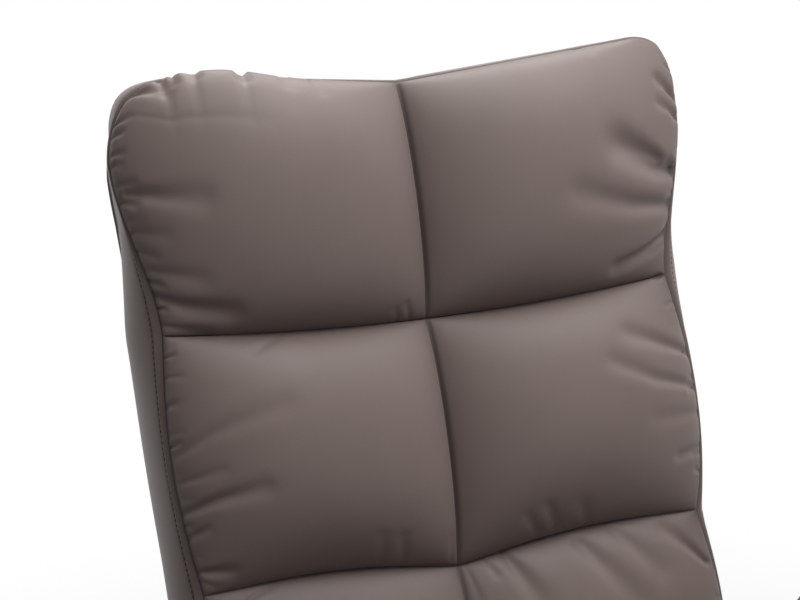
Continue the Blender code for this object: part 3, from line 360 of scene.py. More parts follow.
# Sewn panels: shares across and up, each panel's own angles from 0 to pi, and its row
def panelGrid(across, up, steps):
    def line(limits, count):
        panels = len(limits) - 1
        share = np.linspace(0, panels, panels * count + 1)
        index = np.minimum(share.astype(int), panels - 1)
        part = share - index
        part = part - 0.5 * np.sin(2 * math.pi * part) / (2 * math.pi)  # lines stand closer near the seams
        low, high = np.array(limits)[index], np.array(limits)[index + 1]
        return low + (high - low) * part, math.pi * part, index

    (s, a, column), (t, b, row) = line(across, steps[0]), line(up, steps[1])
    grid = np.meshgrid(s, t)
    return (*grid, *np.meshgrid(a, b), np.meshgrid(column, row)[1])


def sewnLines(shape, steps):
    sewn = np.zeros(shape, bool)
    sewn[::steps[1], :] = True
    sewn[:, ::steps[0]] = True
    return sewn


# Folds: each follows a line of points on a padded face, from its seam inward. Across it the cloth moves by
# height exp(-(d / spread)^2). Along its run, r from 0 to 1, the spread is width (near + far r), and the
# height eases off by 1 - fade r^2. A fold shows by 1 - exp(-rise / hold), so it dies out at the seams
foldForm = dict(near=0.45, far=0.75, fade=0.35, foldHold=0.005, puckerHold=0.0015)


def foldLift(x, y, folds):
    f = foldForm
    lift = np.zeros(x.shape)
    for width, height, *points in folds:
        points = np.array(points)
        legs = np.diff(points, axis=0)
        lengths = np.linalg.norm(legs, axis=1)
        before = runAlong(points)
        nearest, share = np.full(x.shape, np.inf), np.zeros(x.shape)
        for point, leg, length, start in zip(points, legs, lengths, before):
            run = np.clip(((x - point[0]) * leg[0] + (y - point[1]) * leg[1]) / length ** 2, 0, 1)
            away = np.hypot(x - point[0] - run * leg[0], y - point[1] - run * leg[1])
            share = np.where(away < nearest, (start + run * length) / before[-1], share)
            nearest = np.minimum(nearest, away)
        spread = width * (f["near"] + f["far"] * share)
        lift += height * (1 - f["fade"] * share ** 2) * np.exp(-((nearest / spread) ** 2))
    return lift


def heldLift(face, rise, folds, puckers):  # rise: height above the seams
    x, y = face[..., 0], face[..., 1]
    lift = (1 - np.exp(-rise / foldForm["foldHold"])) * foldLift(x, y, folds)
    return lift + (1 - np.exp(-rise / foldForm["puckerHold"])) * foldLift(x, y, puckers)


# Short pinches along a border, at even shares with some play: each runs inward by its length
pinchForm = dict(seed=3, length=(0.010, 0.030), play=0.006, width=(0.0024, 0.0045), depth=(0.0004, 0.0018))


def borderPuckers(border, count):
    f = pinchForm
    draw = np.random.default_rng(f["seed"])
    at = ((np.arange(count) + draw.uniform(0.2, 0.8, count)) / count * len(border)).astype(int)
    start = border[at, :2]
    inner = start - unit(start) * draw.uniform(*f["length"], (count, 1))
    inner = inner + draw.uniform(-f["play"], f["play"], (count, 2))
    width = draw.uniform(*f["width"], count)
    depth = draw.uniform(*f["depth"], count)
    return list(zip(width, -depth, start, inner))


def gridNormals(grid):
    across, up = np.gradient(grid, axis=1), np.gradient(grid, axis=0)
    normal = np.cross(across, up)
    return normal / np.maximum(np.linalg.norm(normal, axis=-1, keepdims=True), 1e-12)


def edgeRing(rows, columns):  # border of a grid, once round
    n = np.arange(rows * columns).reshape(rows, columns)
    return np.concatenate([n[0, :-1], n[:-1, -1], n[-1, :0:-1], n[:0:-1, 0]])


def borderOf(face):
    return face.reshape(-1, 3)[edgeRing(*face.shape[:2])]


def swollenFace(form, points):  # the cloth run on a sewn face, then a finer grid
    shape, step = points.shape[:2], form["steps"]
    points = inflate(points, gridFaces(*shape), sewnLines(shape, step), form["cap"])
    return refine(points, step)


# A square corner made round: x' = x sqrt(1 - y^2 / 2), y' = y sqrt(1 - x^2 / 2)
def roundCorner(across, up, half, top, radius):
    x = 1 - (half - np.abs(across)) / radius
    y = 1 - (top - up) / radius
    inside = (x > 0) & (y > 0)
    x, y = np.where(inside, x, 0), np.where(inside, y, 0)
    rx, ry = x * np.sqrt(1 - y * y / 2), y * np.sqrt(1 - x * x / 2)
    newAcross = np.sign(across) * (half - radius + radius * rx)
    return np.where(inside, newAcross, across), np.where(inside, top - radius + radius * ry, up)


# back

joints = {joint["name"]: joint for joint in frame["record"]["behaviour"]["joints"]}
backForm = dict(
    lean=20.0, ahead=0.0163, hem=0.030, height=0.655, rows=(0.0, 0.276, 0.646, 1.0), steps=(42, 74),
    earDrop=0.070, seamDip=0.014, topArch=0.006, lowArch=0.013, archSpan=0.12,
    # left and right in the picture, so -X and +X: the filling differs a little
    halfHem=(0.248, 0.266), halfWaist=(0.262, 0.265), earFlare=(0.029, 0.038), earCorner=(0.078, 0.050),
    topDip=(0.024, 0.031), sideBulge=(0.010, 0.016), bulgeSkew=(1.0, 0.85),
    seam=0.020, wing=0.004, roll=0.015, steep=0.28, cap=0.028, baseShare=(0.93, 0.95, 0.0),
    # per row, hem first: the panels' height, and how far they lean over the seams below and above
    crown=(0.024, 0.040, 0.040), overhang=(0.20, 0.06, 0.42), overTop=(0.0, 0.40, 0.60),
    overSide=0.20, lapLeft=0.34, lapRight=-0.06,
    paintedShade=((0.6, 0.0018), (0.4, 0.014)),  # shares and reaches of the painted shade beside a seam
    # along the top: place, width, height
    swells=((-0.178, 0.058, 0.014), (-0.233, 0.004, -0.004), (-0.207, 0.004, -0.0035),
            (-0.160, 0.004, -0.005)),
    swellHold=0.004,
    puckers=84, puckerSeed=5, puckerPlay=0.012, puckerLength=(0.006, 0.020), puckerTilt=0.5,
    puckerDepth=0.0024, puckerWidth=(0.0022, 0.0040),
    # width, height, then points across and up from the seam inward
    folds=(
        # upper left panel: outer seam
        (0.009, -0.0041, (-0.28, 0.569), (-0.249, 0.561), (-0.214, 0.555)),
        (0.0072, -0.002, (-0.272, 0.501), (-0.223, 0.492)),
        (0.009, -0.0049, (-0.269, 0.477), (-0.239, 0.466), (-0.198, 0.458)),
        (0.0054, -0.0018, (-0.264, 0.449), (-0.221, 0.438)),
        (0.0045, -0.0004, (-0.264, 0.634), (-0.235, 0.62), (-0.191, 0.613), (-0.149, 0.606)),
        (0.0029, -0.0022, (-0.287, 0.621), (-0.278, 0.622)),
        (0.0029, -0.0018, (-0.288, 0.605), (-0.279, 0.604)),
        (0.0029, -0.0016, (-0.288, 0.596), (-0.282, 0.596)),
        (0.0034, -0.0026, (-0.286, 0.578), (-0.272, 0.576)),
        (0.0032, -0.0015, (-0.284, 0.561), (-0.273, 0.557)),
        (0.0054, -0.0014, (-0.28, 0.535), (-0.249, 0.53)),
        (0.0036, -0.0018, (-0.27, 0.489), (-0.258, 0.484)),
        # upper left panel: top seam
        (0.0054, -0.0041, (-0.274, 0.66), (-0.259, 0.66), (-0.245, 0.656)),
        (0.0072, -0.0032, (-0.236, 0.673), (-0.234, 0.65)),
        (0.0045, -0.0027, (-0.223, 0.675), (-0.223, 0.656)),
        (0.0045, -0.0022, (-0.201, 0.676), (-0.202, 0.656)),
        (0.0045, -0.003, (-0.156, 0.672), (-0.158, 0.648)),
        (0.0054, -0.0012, (-0.117, 0.664), (-0.119, 0.641)),
        (0.0054, -0.0011, (-0.091, 0.66), (-0.089, 0.635)),
        # upper right panel
        (0.0126, -0.0084, (0.295, 0.54), (0.256, 0.545), (0.230, 0.555), (0.208, 0.564)),
        (0.008, -0.0042, (0.262, 0.554), (0.240, 0.562), (0.216, 0.570)),
        (0.0108, -0.0051, (0.291, 0.508), (0.22, 0.514), (0.159, 0.528)),
        (0.0072, -0.0052, (0.280, 0.486), (0.232, 0.466), (0.201, 0.457)),
        (0.0054, -0.0043, (0.302, 0.61), (0.275, 0.628)),
        (0.0045, -0.0027, (0.301, 0.594), (0.269, 0.603)),
        (0.0054, -0.0009, (0.19, 0.679), (0.205, 0.659)),
        (0.0036, -0.0016, (0.275, 0.473), (0.244, 0.463)),
        # upper left panel: beside the seams' crossing
        (0.0036, -0.0016, (-0.019, 0.425), (-0.027, 0.443)),
        (0.0036, -0.0012, (-0.033, 0.425), (-0.038, 0.439)),
        # middle left panel
        (0.009, -0.0018, (-0.262, 0.326), (-0.231, 0.339), (-0.165, 0.353)),
        (0.0045, -0.0015, (-0.262, 0.301), (-0.225, 0.307)),
        (0.0072, -0.0036, (-0.262, 0.274), (-0.231, 0.282), (-0.19, 0.287)),
        (0.0036, -0.0022, (-0.261, 0.252), (-0.244, 0.257)),
        (0.0054, -0.003, (-0.258, 0.218), (-0.225, 0.215)),
        (0.0036, -0.0008, (-0.15, 0.421), (-0.184, 0.403)),
        (0.0045, -0.0015, (-0.082, 0.199), (-0.086, 0.227)),
        (0.0045, -0.0018, (-0.061, 0.197), (-0.065, 0.222)),
        (0.0045, -0.0016, (-0.009, 0.188), (-0.009, 0.211)),
        # middle right panel
        (0.0081, -0.0036, (0.276, 0.354), (0.24, 0.362), (0.198, 0.375)),
        (0.0072, -0.0032, (0.278, 0.32), (0.221, 0.33), (0.173, 0.35)),
        (0.0081, -0.0018, (0.281, 0.293), (0.214, 0.294)),
        (0.0054, -0.0032, (0.289, 0.262), (0.24, 0.254)),
        (0.0045, -0.0019, (0.084, 0.2), (0.068, 0.222)),
        (0.0045, -0.0022, (0.105, 0.202), (0.089, 0.229)),
        (0.0056, -0.0018, (0.14, 0.2), (0.127, 0.226)),
        # hem row
        (0.0036, -0.0022, (0.025, 0.185), (0.034, 0.167)),
        (0.0100, -0.0046, (0.047, 0.186), (0.070, 0.140)),
        (0.0130, -0.0046, (0.125, 0.186), (0.175, 0.120)),
        (0.0110, -0.0036, (0.165, 0.192), (0.205, 0.145)),
        (0.0070, -0.0044, (0.267, 0.141), (0.222, 0.184)),
        (0.0036, -0.0022, (-0.215, 0.185), (-0.191, 0.194)),
        (0.0036, -0.0016, (0.007, 0.18), (0.013, 0.147)),
        # below the picture: the hem row's outer ends and its lower seam
        (0.008, -0.0030, (-0.256, 0.172), (-0.195, 0.160)),
        (0.008, -0.0028, (-0.254, 0.100), (-0.205, 0.098)),
        (0.008, -0.0026, (0.262, 0.090), (0.208, 0.094)),
        (0.008, -0.0026, (-0.252, 0.050), (-0.210, 0.056)),
        (0.007, -0.0026, (0.262, 0.048), (0.212, 0.054)),
        (0.008, -0.0026, (-0.150, -0.004), (-0.140, 0.040)),
        (0.008, -0.0026, (0.160, -0.004), (0.148, 0.038)),
        (0.007, -0.0020, (0.080, -0.004), (0.076, 0.034)),
    ),
)


def backToWorld(points):  # across, up the back, forward -> chair axes
    lean = math.radians(backForm["lean"])
    hinge = joints["recline"]["pos_m"]
    u, v, w = points[..., 0], points[..., 1] + backForm["hem"], points[..., 2] + backForm["ahead"]
    y = hinge[1] + v * math.sin(lean) - w * math.cos(lean)
    z = hinge[2] + v * math.cos(lean) + w * math.sin(lean)
    return np.stack([u, y, z], -1)


# Half width grows from the hem to the waist, the lower two rows bulge between their seams by sin(pi share),
# and the top corners ease out to the ears. A seam rises to the sides by dip s^2, and by arch sin(pi |s|)
def backOutline(across, up, ear=1.0, inset=0.0):
    f = backForm

    def side(pair):
        return np.where(across < 0, pair[0], pair[1])

    height = f["height"] * up
    waist = f["height"] * f["rows"][2]
    half = side(f["halfHem"]) + (side(f["halfWaist"]) - side(f["halfHem"])) * np.minimum(1.0, height / waist)
    for low, high in zip(f["rows"][:2], f["rows"][1:]):
        share = np.clip((up - low) / (high - low), 0, 1) ** side(f["bulgeSkew"])
        half = half + side(f["sideBulge"]) * np.sin(math.pi * share)
    climb = np.clip((height - waist) / (f["height"] - f["earDrop"] - waist), 0.0, 1.0)
    climb = climb * climb * (3 - 2 * climb)
    half = half + ear * side(f["earFlare"]) * climb
    x, z = roundCorner(across * half, height, half, f["height"], side(f["earCorner"]))
    top = np.clip((up - f["rows"][2]) / (1 - f["rows"][2]), 0, 1)
    dip = f["seamDip"] * np.minimum(1, up / f["rows"][1]) + (side(f["topDip"]) - f["seamDip"]) * top ** 2
    low = np.exp(-(((up - f["rows"][1]) / f["archSpan"]) ** 2))
    arch = f["topArch"] * top ** 2 + f["lowArch"] * low
    z = z + dip * across * across + arch * np.sin(math.pi * np.abs(across))
    x = x - inset * x / half
    z = z + inset * (1 - 2 * z / f["height"])
    return x, z


# Puckers: short pinches from the outer seam inward, at even shares of its length with some play
def seamPuckers():
    f = backForm
    draw = np.random.default_rng(f["puckerSeed"])
    each = f["puckers"] // 2
    t = np.concatenate([np.linspace(0.02, 0.98, each)] * 2)
    t = t + draw.uniform(-f["puckerPlay"], f["puckerPlay"], 2 * each)
    s = np.repeat([-1.0, 1.0], each)
    x, z = backOutline(s, t)
    length = draw.uniform(*f["puckerLength"], 2 * each)
    tilt = draw.uniform(-f["puckerTilt"], f["puckerTilt"], 2 * each)
    depth = -f["puckerDepth"] * draw.uniform(0.1, 1.0, 2 * each) ** 2
    width = draw.uniform(*f["puckerWidth"], 2 * each)
    inner = np.stack([x - s * length * np.cos(tilt), z + length * np.sin(tilt)], -1)
    return list(zip(width, depth, np.stack([x, z], -1), inner))


# A sewn panel's height: partly steep at the seams, (sin a sin b)^0.3, and partly dome^0.9. The dome is that
# of an inflated membrane, the sum over odd m and n of sin(m a) sin(n b) / (m n (m^2 + n^2)), scaled to 1
def pillow(a, b, steep):
    odd = np.arange(1, 22, 2)
    dome = sum(np.sin(m * a) * np.sin(n * b) / (m * n * (m * m + n * n)) for m in odd for n in odd)
    wall = np.maximum(np.sin(a) * np.sin(b), 0)
    return steep * wall ** 0.3 + (1 - steep) * np.maximum(dome / dome.max(), 0) ** 0.9


def makeBackCushion():
    f = backForm
    s, t, a, b, row = panelGrid((-1.0, 0.0, 1.0), f["rows"], f["steps"])
    x, z = backOutline(s, t)
    # each row is a roll, sewn down less in the middle
    sewnAt = f["seam"] + f["wing"] * s ** 2 + f["roll"] * (1 - s ** 2) * np.sin(b) ** 0.6
    points = np.stack([x, z, sewnAt + np.array(f["crown"])[row] * pillow(a, b, f["steep"])], -1)
    points = swollenFace(f, points)
    fine = refine(np.stack([a, b, row, s, sewnAt], -1), f["steps"])
    rightward, upward = (1 - np.cos(fine[..., 0])) / 2, (1 - np.cos(fine[..., 1])) / 2  # 0 to 1 in each panel
    at = np.rint(fine[..., 2]).astype(int)
    s, sewnAt = fine[..., 3], fine[..., 4]
    rise = np.maximum(points[..., 2] - sewnAt, 0)
    lift = heldLift(points, rise, f["folds"], seamPuckers())
    points += gridNormals(points) * lift[..., None]
    rise = np.maximum(rise + lift, 0)
    # panels lean over their seams, the left ones over the middle seam
    over = np.where(s < 0, f["lapLeft"], f["overSide"]) * rightward ** 3
    over -= np.where(s < 0, f["overSide"], f["lapRight"]) * (1 - rightward) ** 3
    points[..., 0] += rise * over
    above, below = np.array(f["overTop"])[at], np.array(f["overhang"])[at]
    points[..., 1] += rise * (above * upward ** 2 - below * (1 - upward) ** 2)
    for place, width, height in f["swells"]:
        swell = height * np.exp(-(((points[..., 0] - place) / width) ** 2)) * rise / (rise + f["swellHold"])
        points[..., 1] += np.where(at == 2, swell * upward ** 6, 0)
    # painted shade: the colour darkens where the cloth sinks towards a seam, and the hidden wall and base
    # below the face are painted fully dark
    paintedShade = sum(share * np.exp(-rise / reach) for share, reach in f["paintedShade"])
    middle = np.array([0, f["height"] / 2, 0])
    base = (borderOf(points) - middle) * f["baseShare"] + middle  # drawn in, well inside the cover
    allPoints, quads, fan = closePad(points, base[None])
    shade = np.concatenate([paintedShade.ravel(), np.ones(len(allPoints) - paintedShade.size)])
    mesh = buildMesh("backCushion", backToWorld(allPoints), quads, fan, shade)
    addPiece("backCushion", mesh, leather, "back", ["back_cushion"])
    print("back cushion")


makeBackCushion()

coverForm = dict(
    rearDepth=0.0845, outerHem=(0.270, 0.286), outerTop=(0.285, 0.299), topSwell=0.007, ear=0.45, inset=0.004,
    deep=0.105,  # nominal width of the band
    rows=40, crowd=0.84, acrossCount=120, upCount=150, even=6,
    tuck=0.0015, tuckReach=0.0008, bead=0.0048, beadHeight=0.0016, groove=0.0012, grooveWidth=0.0011,
    # painted shade: darker colour beside the band's seams and in its stitch groove, and, on the next line,
    # along the rear panel's seams
    paintedShadeReach=0.0022, grooveShade=0.5, grooveReach=0.0010, stitchPast=0.0016,
    rearCrown=0.007, rearSteps=(40, 40), rearInset=0.003, rearAhead=0.0008, rearShadeReach=0.0012,
)


# The back's side band, q from the front seam to the rear seam: tucked under the cushion, a stitched bead,
# then a swell of sin(pi q)^0.55 out to a straight side, and the same bead before the rear panel
def makeBackCover():
    f, c = backForm, coverForm
    side = np.linspace(0, 1, c["upCount"] + 1)[:-1]
    wide = np.linspace(-1, 1, c["acrossCount"] + 1)[:-1]
    s = np.concatenate([wide, np.ones(len(side)), -wide, -np.ones(len(side))])
    t = np.concatenate([0 * wide, side, 0 * wide + 1, 1 - side])
    front = np.stack(backOutline(s, t), -1)
    rear = np.stack(backOutline(s, t, c["ear"], c["inset"]), -1)
    tangent = np.roll(front, -1, 0) - np.roll(front, 1, 0)
    normal = unit(np.stack([tangent[:, 1], -tangent[:, 0]], -1))
    normal = unit(sum(np.roll(normal, k, 0) for k in range(-c["even"], c["even"] + 1)))  # evened out
    frontAt = f["seam"] + f["wing"] * s ** 2
    q = np.linspace(0, 1, c["rows"] + 1)
    q = q - c["crowd"] * np.sin(2 * math.pi * q) / (2 * math.pi)  # rows stand closer near the seams
    edge = np.minimum(q, 1 - q) * c["deep"]
    bead = c["beadHeight"] * np.sin(math.pi * np.clip(edge / c["bead"], 0, 1)) ** 0.8
    groove = c["groove"] * np.exp(-(((edge - c["bead"]) / c["grooveWidth"]) ** 2))
    sideways = np.abs(normal[:, 0]) ** 2
    climb = np.minimum(1.0, t / f["rows"][2])
    outer = np.where(s < 0, *c["outerHem"]) * (1 - climb) + np.where(s < 0, *c["outerTop"]) * climb
    room = np.maximum(0, outer - np.abs(front[:, 0])) * sideways + c["topSwell"] * (1 - sideways)
    swell = np.sin(math.pi * np.clip(q, 0, 1))[:, None] ** 0.55 * room[None]
    swell = swell + (bead - groove - c["tuck"] * np.exp(-edge / c["tuckReach"]))[:, None]
    ease = (q * q * (3 - 2 * q))[:, None, None]
    flat = front[None] * (1 - ease) + rear[None] * ease + normal[None] * swell[..., None]
    w = frontAt[None] * (1 - q[:, None]) - c["rearDepth"] * q[:, None]
    band = np.concatenate([flat, w[..., None]], -1)
    # painted shade: darker colour beside the band's front and rear seams and in the stitch groove
    dark = c["grooveShade"] * np.exp(-(((edge - c["bead"]) / c["grooveReach"]) ** 2))
    paintedShade = np.clip(np.exp(-edge / c["paintedShadeReach"]) + dark, 0, 1)[:, None] * np.ones(len(s))
    quads = gridFaces(*band.shape[:2], closed=True)[:, ::-1]
    mesh = buildMesh("backCover", backToWorld(band), quads, [], paintedShade)
    addPiece("backCover", mesh, leather, "back", ["back_shell"])
    makeRearPanel()
    lift = np.concatenate([normal, 0 * s[:, None]], -1)
    raised = backToWorld(lift) - backToWorld(0 * lift)
    lines = []
    for at in (c["bead"] + c["stitchPast"], c["deep"] - c["bead"] - c["stitchPast"]):
        k = int(np.argmin(np.abs(q * c["deep"] - at)))
        lines.append(closedLine(backToWorld(band[k] + lift * stitchForm["lift"])))
    makeStitches("backStitches", lines, [closedLine(raised)] * 2, "back")
    print("back cover")


# The rear panel: the rear outline filled by shares across and up, two panels crowned by (sin a sin b)^0.4
def makeRearPanel():
    c = coverForm
    s, t, a, b, _ = panelGrid((-1.0, 0.0, 1.0), (0.0, 1.0), c["rearSteps"])
    x, z = backOutline(s, t, c["ear"], c["rearInset"])
    rise = c["rearCrown"] * (np.sin(a) * np.sin(b)) ** 0.4
    points = np.stack([x, z, c["rearAhead"] - c["rearDepth"] - rise], -1)
    # painted shade: darker colour along the panel's seams, where it rises least
    shade = np.exp(-rise / c["rearShadeReach"])
    mesh = buildMesh("backRearPanel", backToWorld(points), gridFaces(*s.shape)[:, ::-1], [], shade)
    addPiece("backRearPanel", mesh, leather, "back")


# Stitches: beads of thread along a line, each a bulged tube of three rings between two tips. A ring has its
# share of the length and of the radius
stitchForm = dict(
    length=0.0036, pitch=0.0052, radius=0.00062, sides=5, rings=((-0.34, 0.85), (0.0, 1.0), (0.34, 0.85)),
    probe=0.001, lift=0.0002,
)


def makeStitches(name, lines, lifts, body):
    f = stitchForm
    k = f["sides"]
    turn = np.arange(k) * 2 * math.pi / k
    beads = []
    for line, lift in zip(lines, lifts):
        run = runAlong(line)
        at = np.arange(0.5 * f["pitch"], run[-1], f["pitch"])
        centre = pointsAt(line, run, at)
        along = unit(pointsAt(line, run, at + f["probe"]) - pointsAt(line, run, at - f["probe"]))
        up = pointsAt(lift, run, at)
        up = unit(up - along * (up * along).sum(1, keepdims=True))
        side = np.cross(along, up)
        rim = up[:, None] * np.cos(turn)[None, :, None] + side[:, None] * np.sin(turn)[None, :, None]
        rings = []
        for share, thick in f["rings"]:
            hub = centre + along * share * f["length"]
            rings.append(hub[:, None] + rim * f["radius"] * thick)
        low, reach = centre - up * f["radius"], along * f["length"] / 2
        tips = np.stack([low - reach, low + reach], 1)
        beads.append(np.concatenate([*rings, tips], 1))
    points = np.concatenate(beads)
    tube = gridFaces(len(f["rings"]), k, closed=True)
    j = np.arange(k)
    after = (j + 1) % k
    ends = np.concatenate([np.stack([np.full(k, 3 * k), after, j], -1),
                           np.stack([np.full(k, 3 * k + 1), 2 * k + j, 2 * k + after], -1)])
    start = np.arange(len(points))[:, None, None] * points.shape[1]
    mesh = buildMesh(name, points, (start + tube[None]).reshape(-1, 4), (start + ends[None]).reshape(-1, 3))
    addPiece(name, mesh, thread, body)


makeBackCover()


# A boxed pad after its cloth run: folds and puckers along its normals, boxing, and stitches round its border
def makePad(name, form, face, sewnAt, place, body, node, stitches):
    rise = np.maximum(face[..., 2] - sewnAt, 0)
    lift = heldLift(face, rise, form["folds"], borderPuckers(borderOf(face), form["puckers"]))
    face = face + gridNormals(face) * lift[..., None]
    rings, outward = boxing(borderOf(face), form["bulge"], form["tuck"], form["bandRows"])
    points, quads, fan = closePad(face, rings)
    # painted shade: darker colour beside the face's seams; the boxing is left unshaded
    paintedShade = np.exp(-np.maximum(face[..., 2] - sewnAt, 0) / form["paintedShadeReach"])
    shade = np.concatenate([paintedShade.ravel(), np.zeros(len(points) - paintedShade.size)])
    mesh = buildMesh(name, place(points), quads, fan, shade)
    addPiece(name, mesh, leather, body, [node])
    line = place(rings[1] + outward * stitchForm["lift"])
    lift = place(outward) - place(0 * outward)
    makeStitches(stitches, [closedLine(line)], [closedLine(lift)], body)


# seat

seatForm = dict(
    half=0.285, front=-0.330, rear=0.180, base=float(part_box("seat_cushion")[0][2]), edge=0.082, crown=0.036,
    steep=0.22, frontDrop=0.022, dropShare=0.2, corner=0.045, rearCorner=0.024, rows=(0.0, 0.52, 1.0),
    # the last value on the next line is the reach of the painted shade beside the seams
    steps=(36, 36), cap=0.026, bulge=0.007, tuck=0.006, bandRows=16, puckers=150, paintedShadeReach=0.004,
    # width, height, then points across and rearward of the seat's middle
    folds=(
        (0.010, -0.0030, (-0.280, -0.110), (-0.225, -0.095), (-0.180, -0.092)),
        (0.009, -0.0026, (-0.282, 0.090), (-0.230, 0.080)),
        (0.008, -0.0022, (-0.282, -0.180), (-0.235, -0.160)),
        (0.009, -0.0028, (-0.282, 0.160), (-0.225, 0.128), (-0.190, 0.120)),
        (0.010, -0.0030, (0.280, -0.080), (0.228, -0.070), (0.176, -0.074)),
        (0.008, -0.0024, (0.282, -0.170), (0.240, -0.150)),
        (0.009, -0.0026, (0.282, 0.070), (0.226, 0.062)),
        (0.010, -0.0030, (0.282, 0.150), (0.230, 0.122), (0.188, 0.118)),
        (0.007, -0.0018, (-0.160, -0.254), (-0.154, -0.205)),
        (0.008, -0.0022, (-0.070, -0.254), (-0.072, -0.214)),
        (0.007, -0.0020, (0.120, -0.254), (0.112, -0.208)),
        (0.008, -0.0018, (0.210, -0.252), (0.200, -0.206)),
        (0.006, -0.0018, (-0.004, 0.012), (-0.030, 0.046)),
        (0.006, -0.0018, (0.004, 0.012), (0.032, 0.044)),
        (0.006, -0.0016, (-0.004, 0.004), (-0.034, -0.030)),
        (0.006, -0.0016, (0.004, 0.004), (0.030, -0.034)),
        (0.007, -0.0018, (-0.150, 0.010), (-0.160, 0.052)),
        (0.007, -0.0016, (0.160, 0.010), (0.170, 0.050)),
        (0.007, -0.0016, (-0.100, 0.008), (-0.094, -0.036)),
        (0.007, -0.0016, (0.090, 0.008), (0.100, -0.034)),
    ),
)


def makeSeat():
    f = seatForm
    s, t, a, b, _ = panelGrid((-1.0, 0.0, 1.0), f["rows"], f["steps"])
    depth = f["rear"] - f["front"]
    x, forward = roundCorner(s * f["half"], -depth * (t - 0.5), f["half"], depth / 2, f["corner"])
    x, rearward = roundCorner(x, -forward, f["half"], depth / 2, f["rearCorner"])
    sewnAt = f["edge"] - f["frontDrop"] * np.maximum(0, 1 - t / f["dropShare"]) ** 2  # lower at the front
    points = np.stack([x, rearward, sewnAt + f["crown"] * pillow(a, b, f["steep"])], -1)
    sewnAt = refine(sewnAt[..., None], f["steps"])[..., 0]
    middle = np.array([0, (f["front"] + f["rear"]) / 2, f["base"]])

    def place(p):
        return p + middle

    face = swollenFace(f, points)
    makePad("seatCushion", f, face, sewnAt, place, "seat", "seat_cushion", "seatStitches")
    print("seat cushion")


makeSeat()

# footrest

footForm = dict(
    half=0.250, length=0.232, edge=0.030, crown=0.020, steep=0.22, corner=0.030, ahead=0.0003,
    # the last value on the next line is the reach of the painted shade beside the seams
    steps=(36, 36), cap=0.022, bulge=0.004, tuck=0.002, bandRows=10, puckers=110, paintedShadeReach=0.004,
    # width, height, then points across and up from the pad's middle
    folds=(
        (0.007, -0.0022, (-0.248, 0.050), (-0.205, 0.044)),
        (0.007, -0.0020, (-0.248, -0.040), (-0.210, -0.036)),
        (0.007, -0.0022, (0.248, 0.060), (0.204, 0.052)),
        (0.007, -0.0020, (0.248, -0.030), (0.208, -0.030)),
        (0.006, -0.0018, (-0.120, 0.115), (-0.114, 0.080)),
        (0.006, -0.0018, (0.130, 0.115), (0.122, 0.078)),
        (0.006, -0.0016, (-0.090, -0.115), (-0.094, -0.080)),
        (0.006, -0.0016, (0.100, -0.115), (0.106, -0.082)),
        (0.006, -0.0018, (-0.004, 0.070), (-0.034, 0.060)),
        (0.006, -0.0018, (0.004, -0.066), (0.034, -0.058)),
    ),
)


def makeFootrest():
    f = footForm
    low, high = [np.array(corner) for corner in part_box("footrest_board")]
    s, t, a, b, _ = panelGrid((-1.0, 0.0, 1.0), (-1.0, 1.0), f["steps"])
    half = f["length"] / 2
    x, z = roundCorner(s * f["half"], np.abs(t) * half, f["half"], half, f["corner"])
    points = np.stack([x, np.sign(t) * z, f["edge"] + f["crown"] * pillow(a, b, f["steep"])], -1)

    def place(p):  # the pad's face looks forward, from the front of its board
        return np.stack([p[..., 0], low[1] - f["ahead"] - p[..., 2], (low[2] + high[2]) / 2 + p[..., 1]], -1)

    face = swollenFace(f, points)
    makePad("footrestPad", f, face, f["edge"], place, "footrest", "footrest_pad", "footrestStitches")
    print("footrest pad")


makeFootrest()

# arms: a rounded section carried along the bent bar

armForm = dict(
    width=0.070, thickness=0.042, top=0.610, slope=0.014, frontY=-0.285, rearY=0.130, bend=0.090,
    crossFront=-0.190, crossRear=0.110, foot=0.045, lift=0.012, around=72, along=240, crown=0.003, power=3.6,
    endRound=0.010, endShare=0.28, endLeast=0.05,
    groove=0.0016, seamWidth=0.0022, seamFrom=0.3, seamShade=0.8, stitchAt=0.0052, stitchOut=0.0001,
    stitchSkip=8, fullBend=14.0, wrinkle=0.0011, wrinklePitch=0.013, wrinkleFrom=0.2,
)


def bentLine(corners, bend, count=24):  # each corner becomes a quadratic arc between points on its two sides
    corners = np.array(corners, float)
    path = [corners[:1]]
    share = np.linspace(0, 1, count + 1)[:, None]
    for before, corner, after in zip(corners, corners[1:], corners[2:]):
        a, b = before - corner, after - corner
        la, lb = np.linalg.norm(a), np.linalg.norm(b)
        half = math.acos(np.clip(a @ b / (la * lb), -1, 1)) / 2
        reach = min(bend / math.tan(half), 0.45 * la, 0.45 * lb)
        start, end = corner + a / la * reach, corner + b / lb * reach
        path.append((1 - share) ** 2 * start + 2 * share * (1 - share) * corner + share ** 2 * end)
    return np.concatenate([*path, corners[-1:]])


def evenly(path, count):
    run = runAlong(path)
    at = np.linspace(0, run[-1], count)
    return pointsAt(path, run, at), at


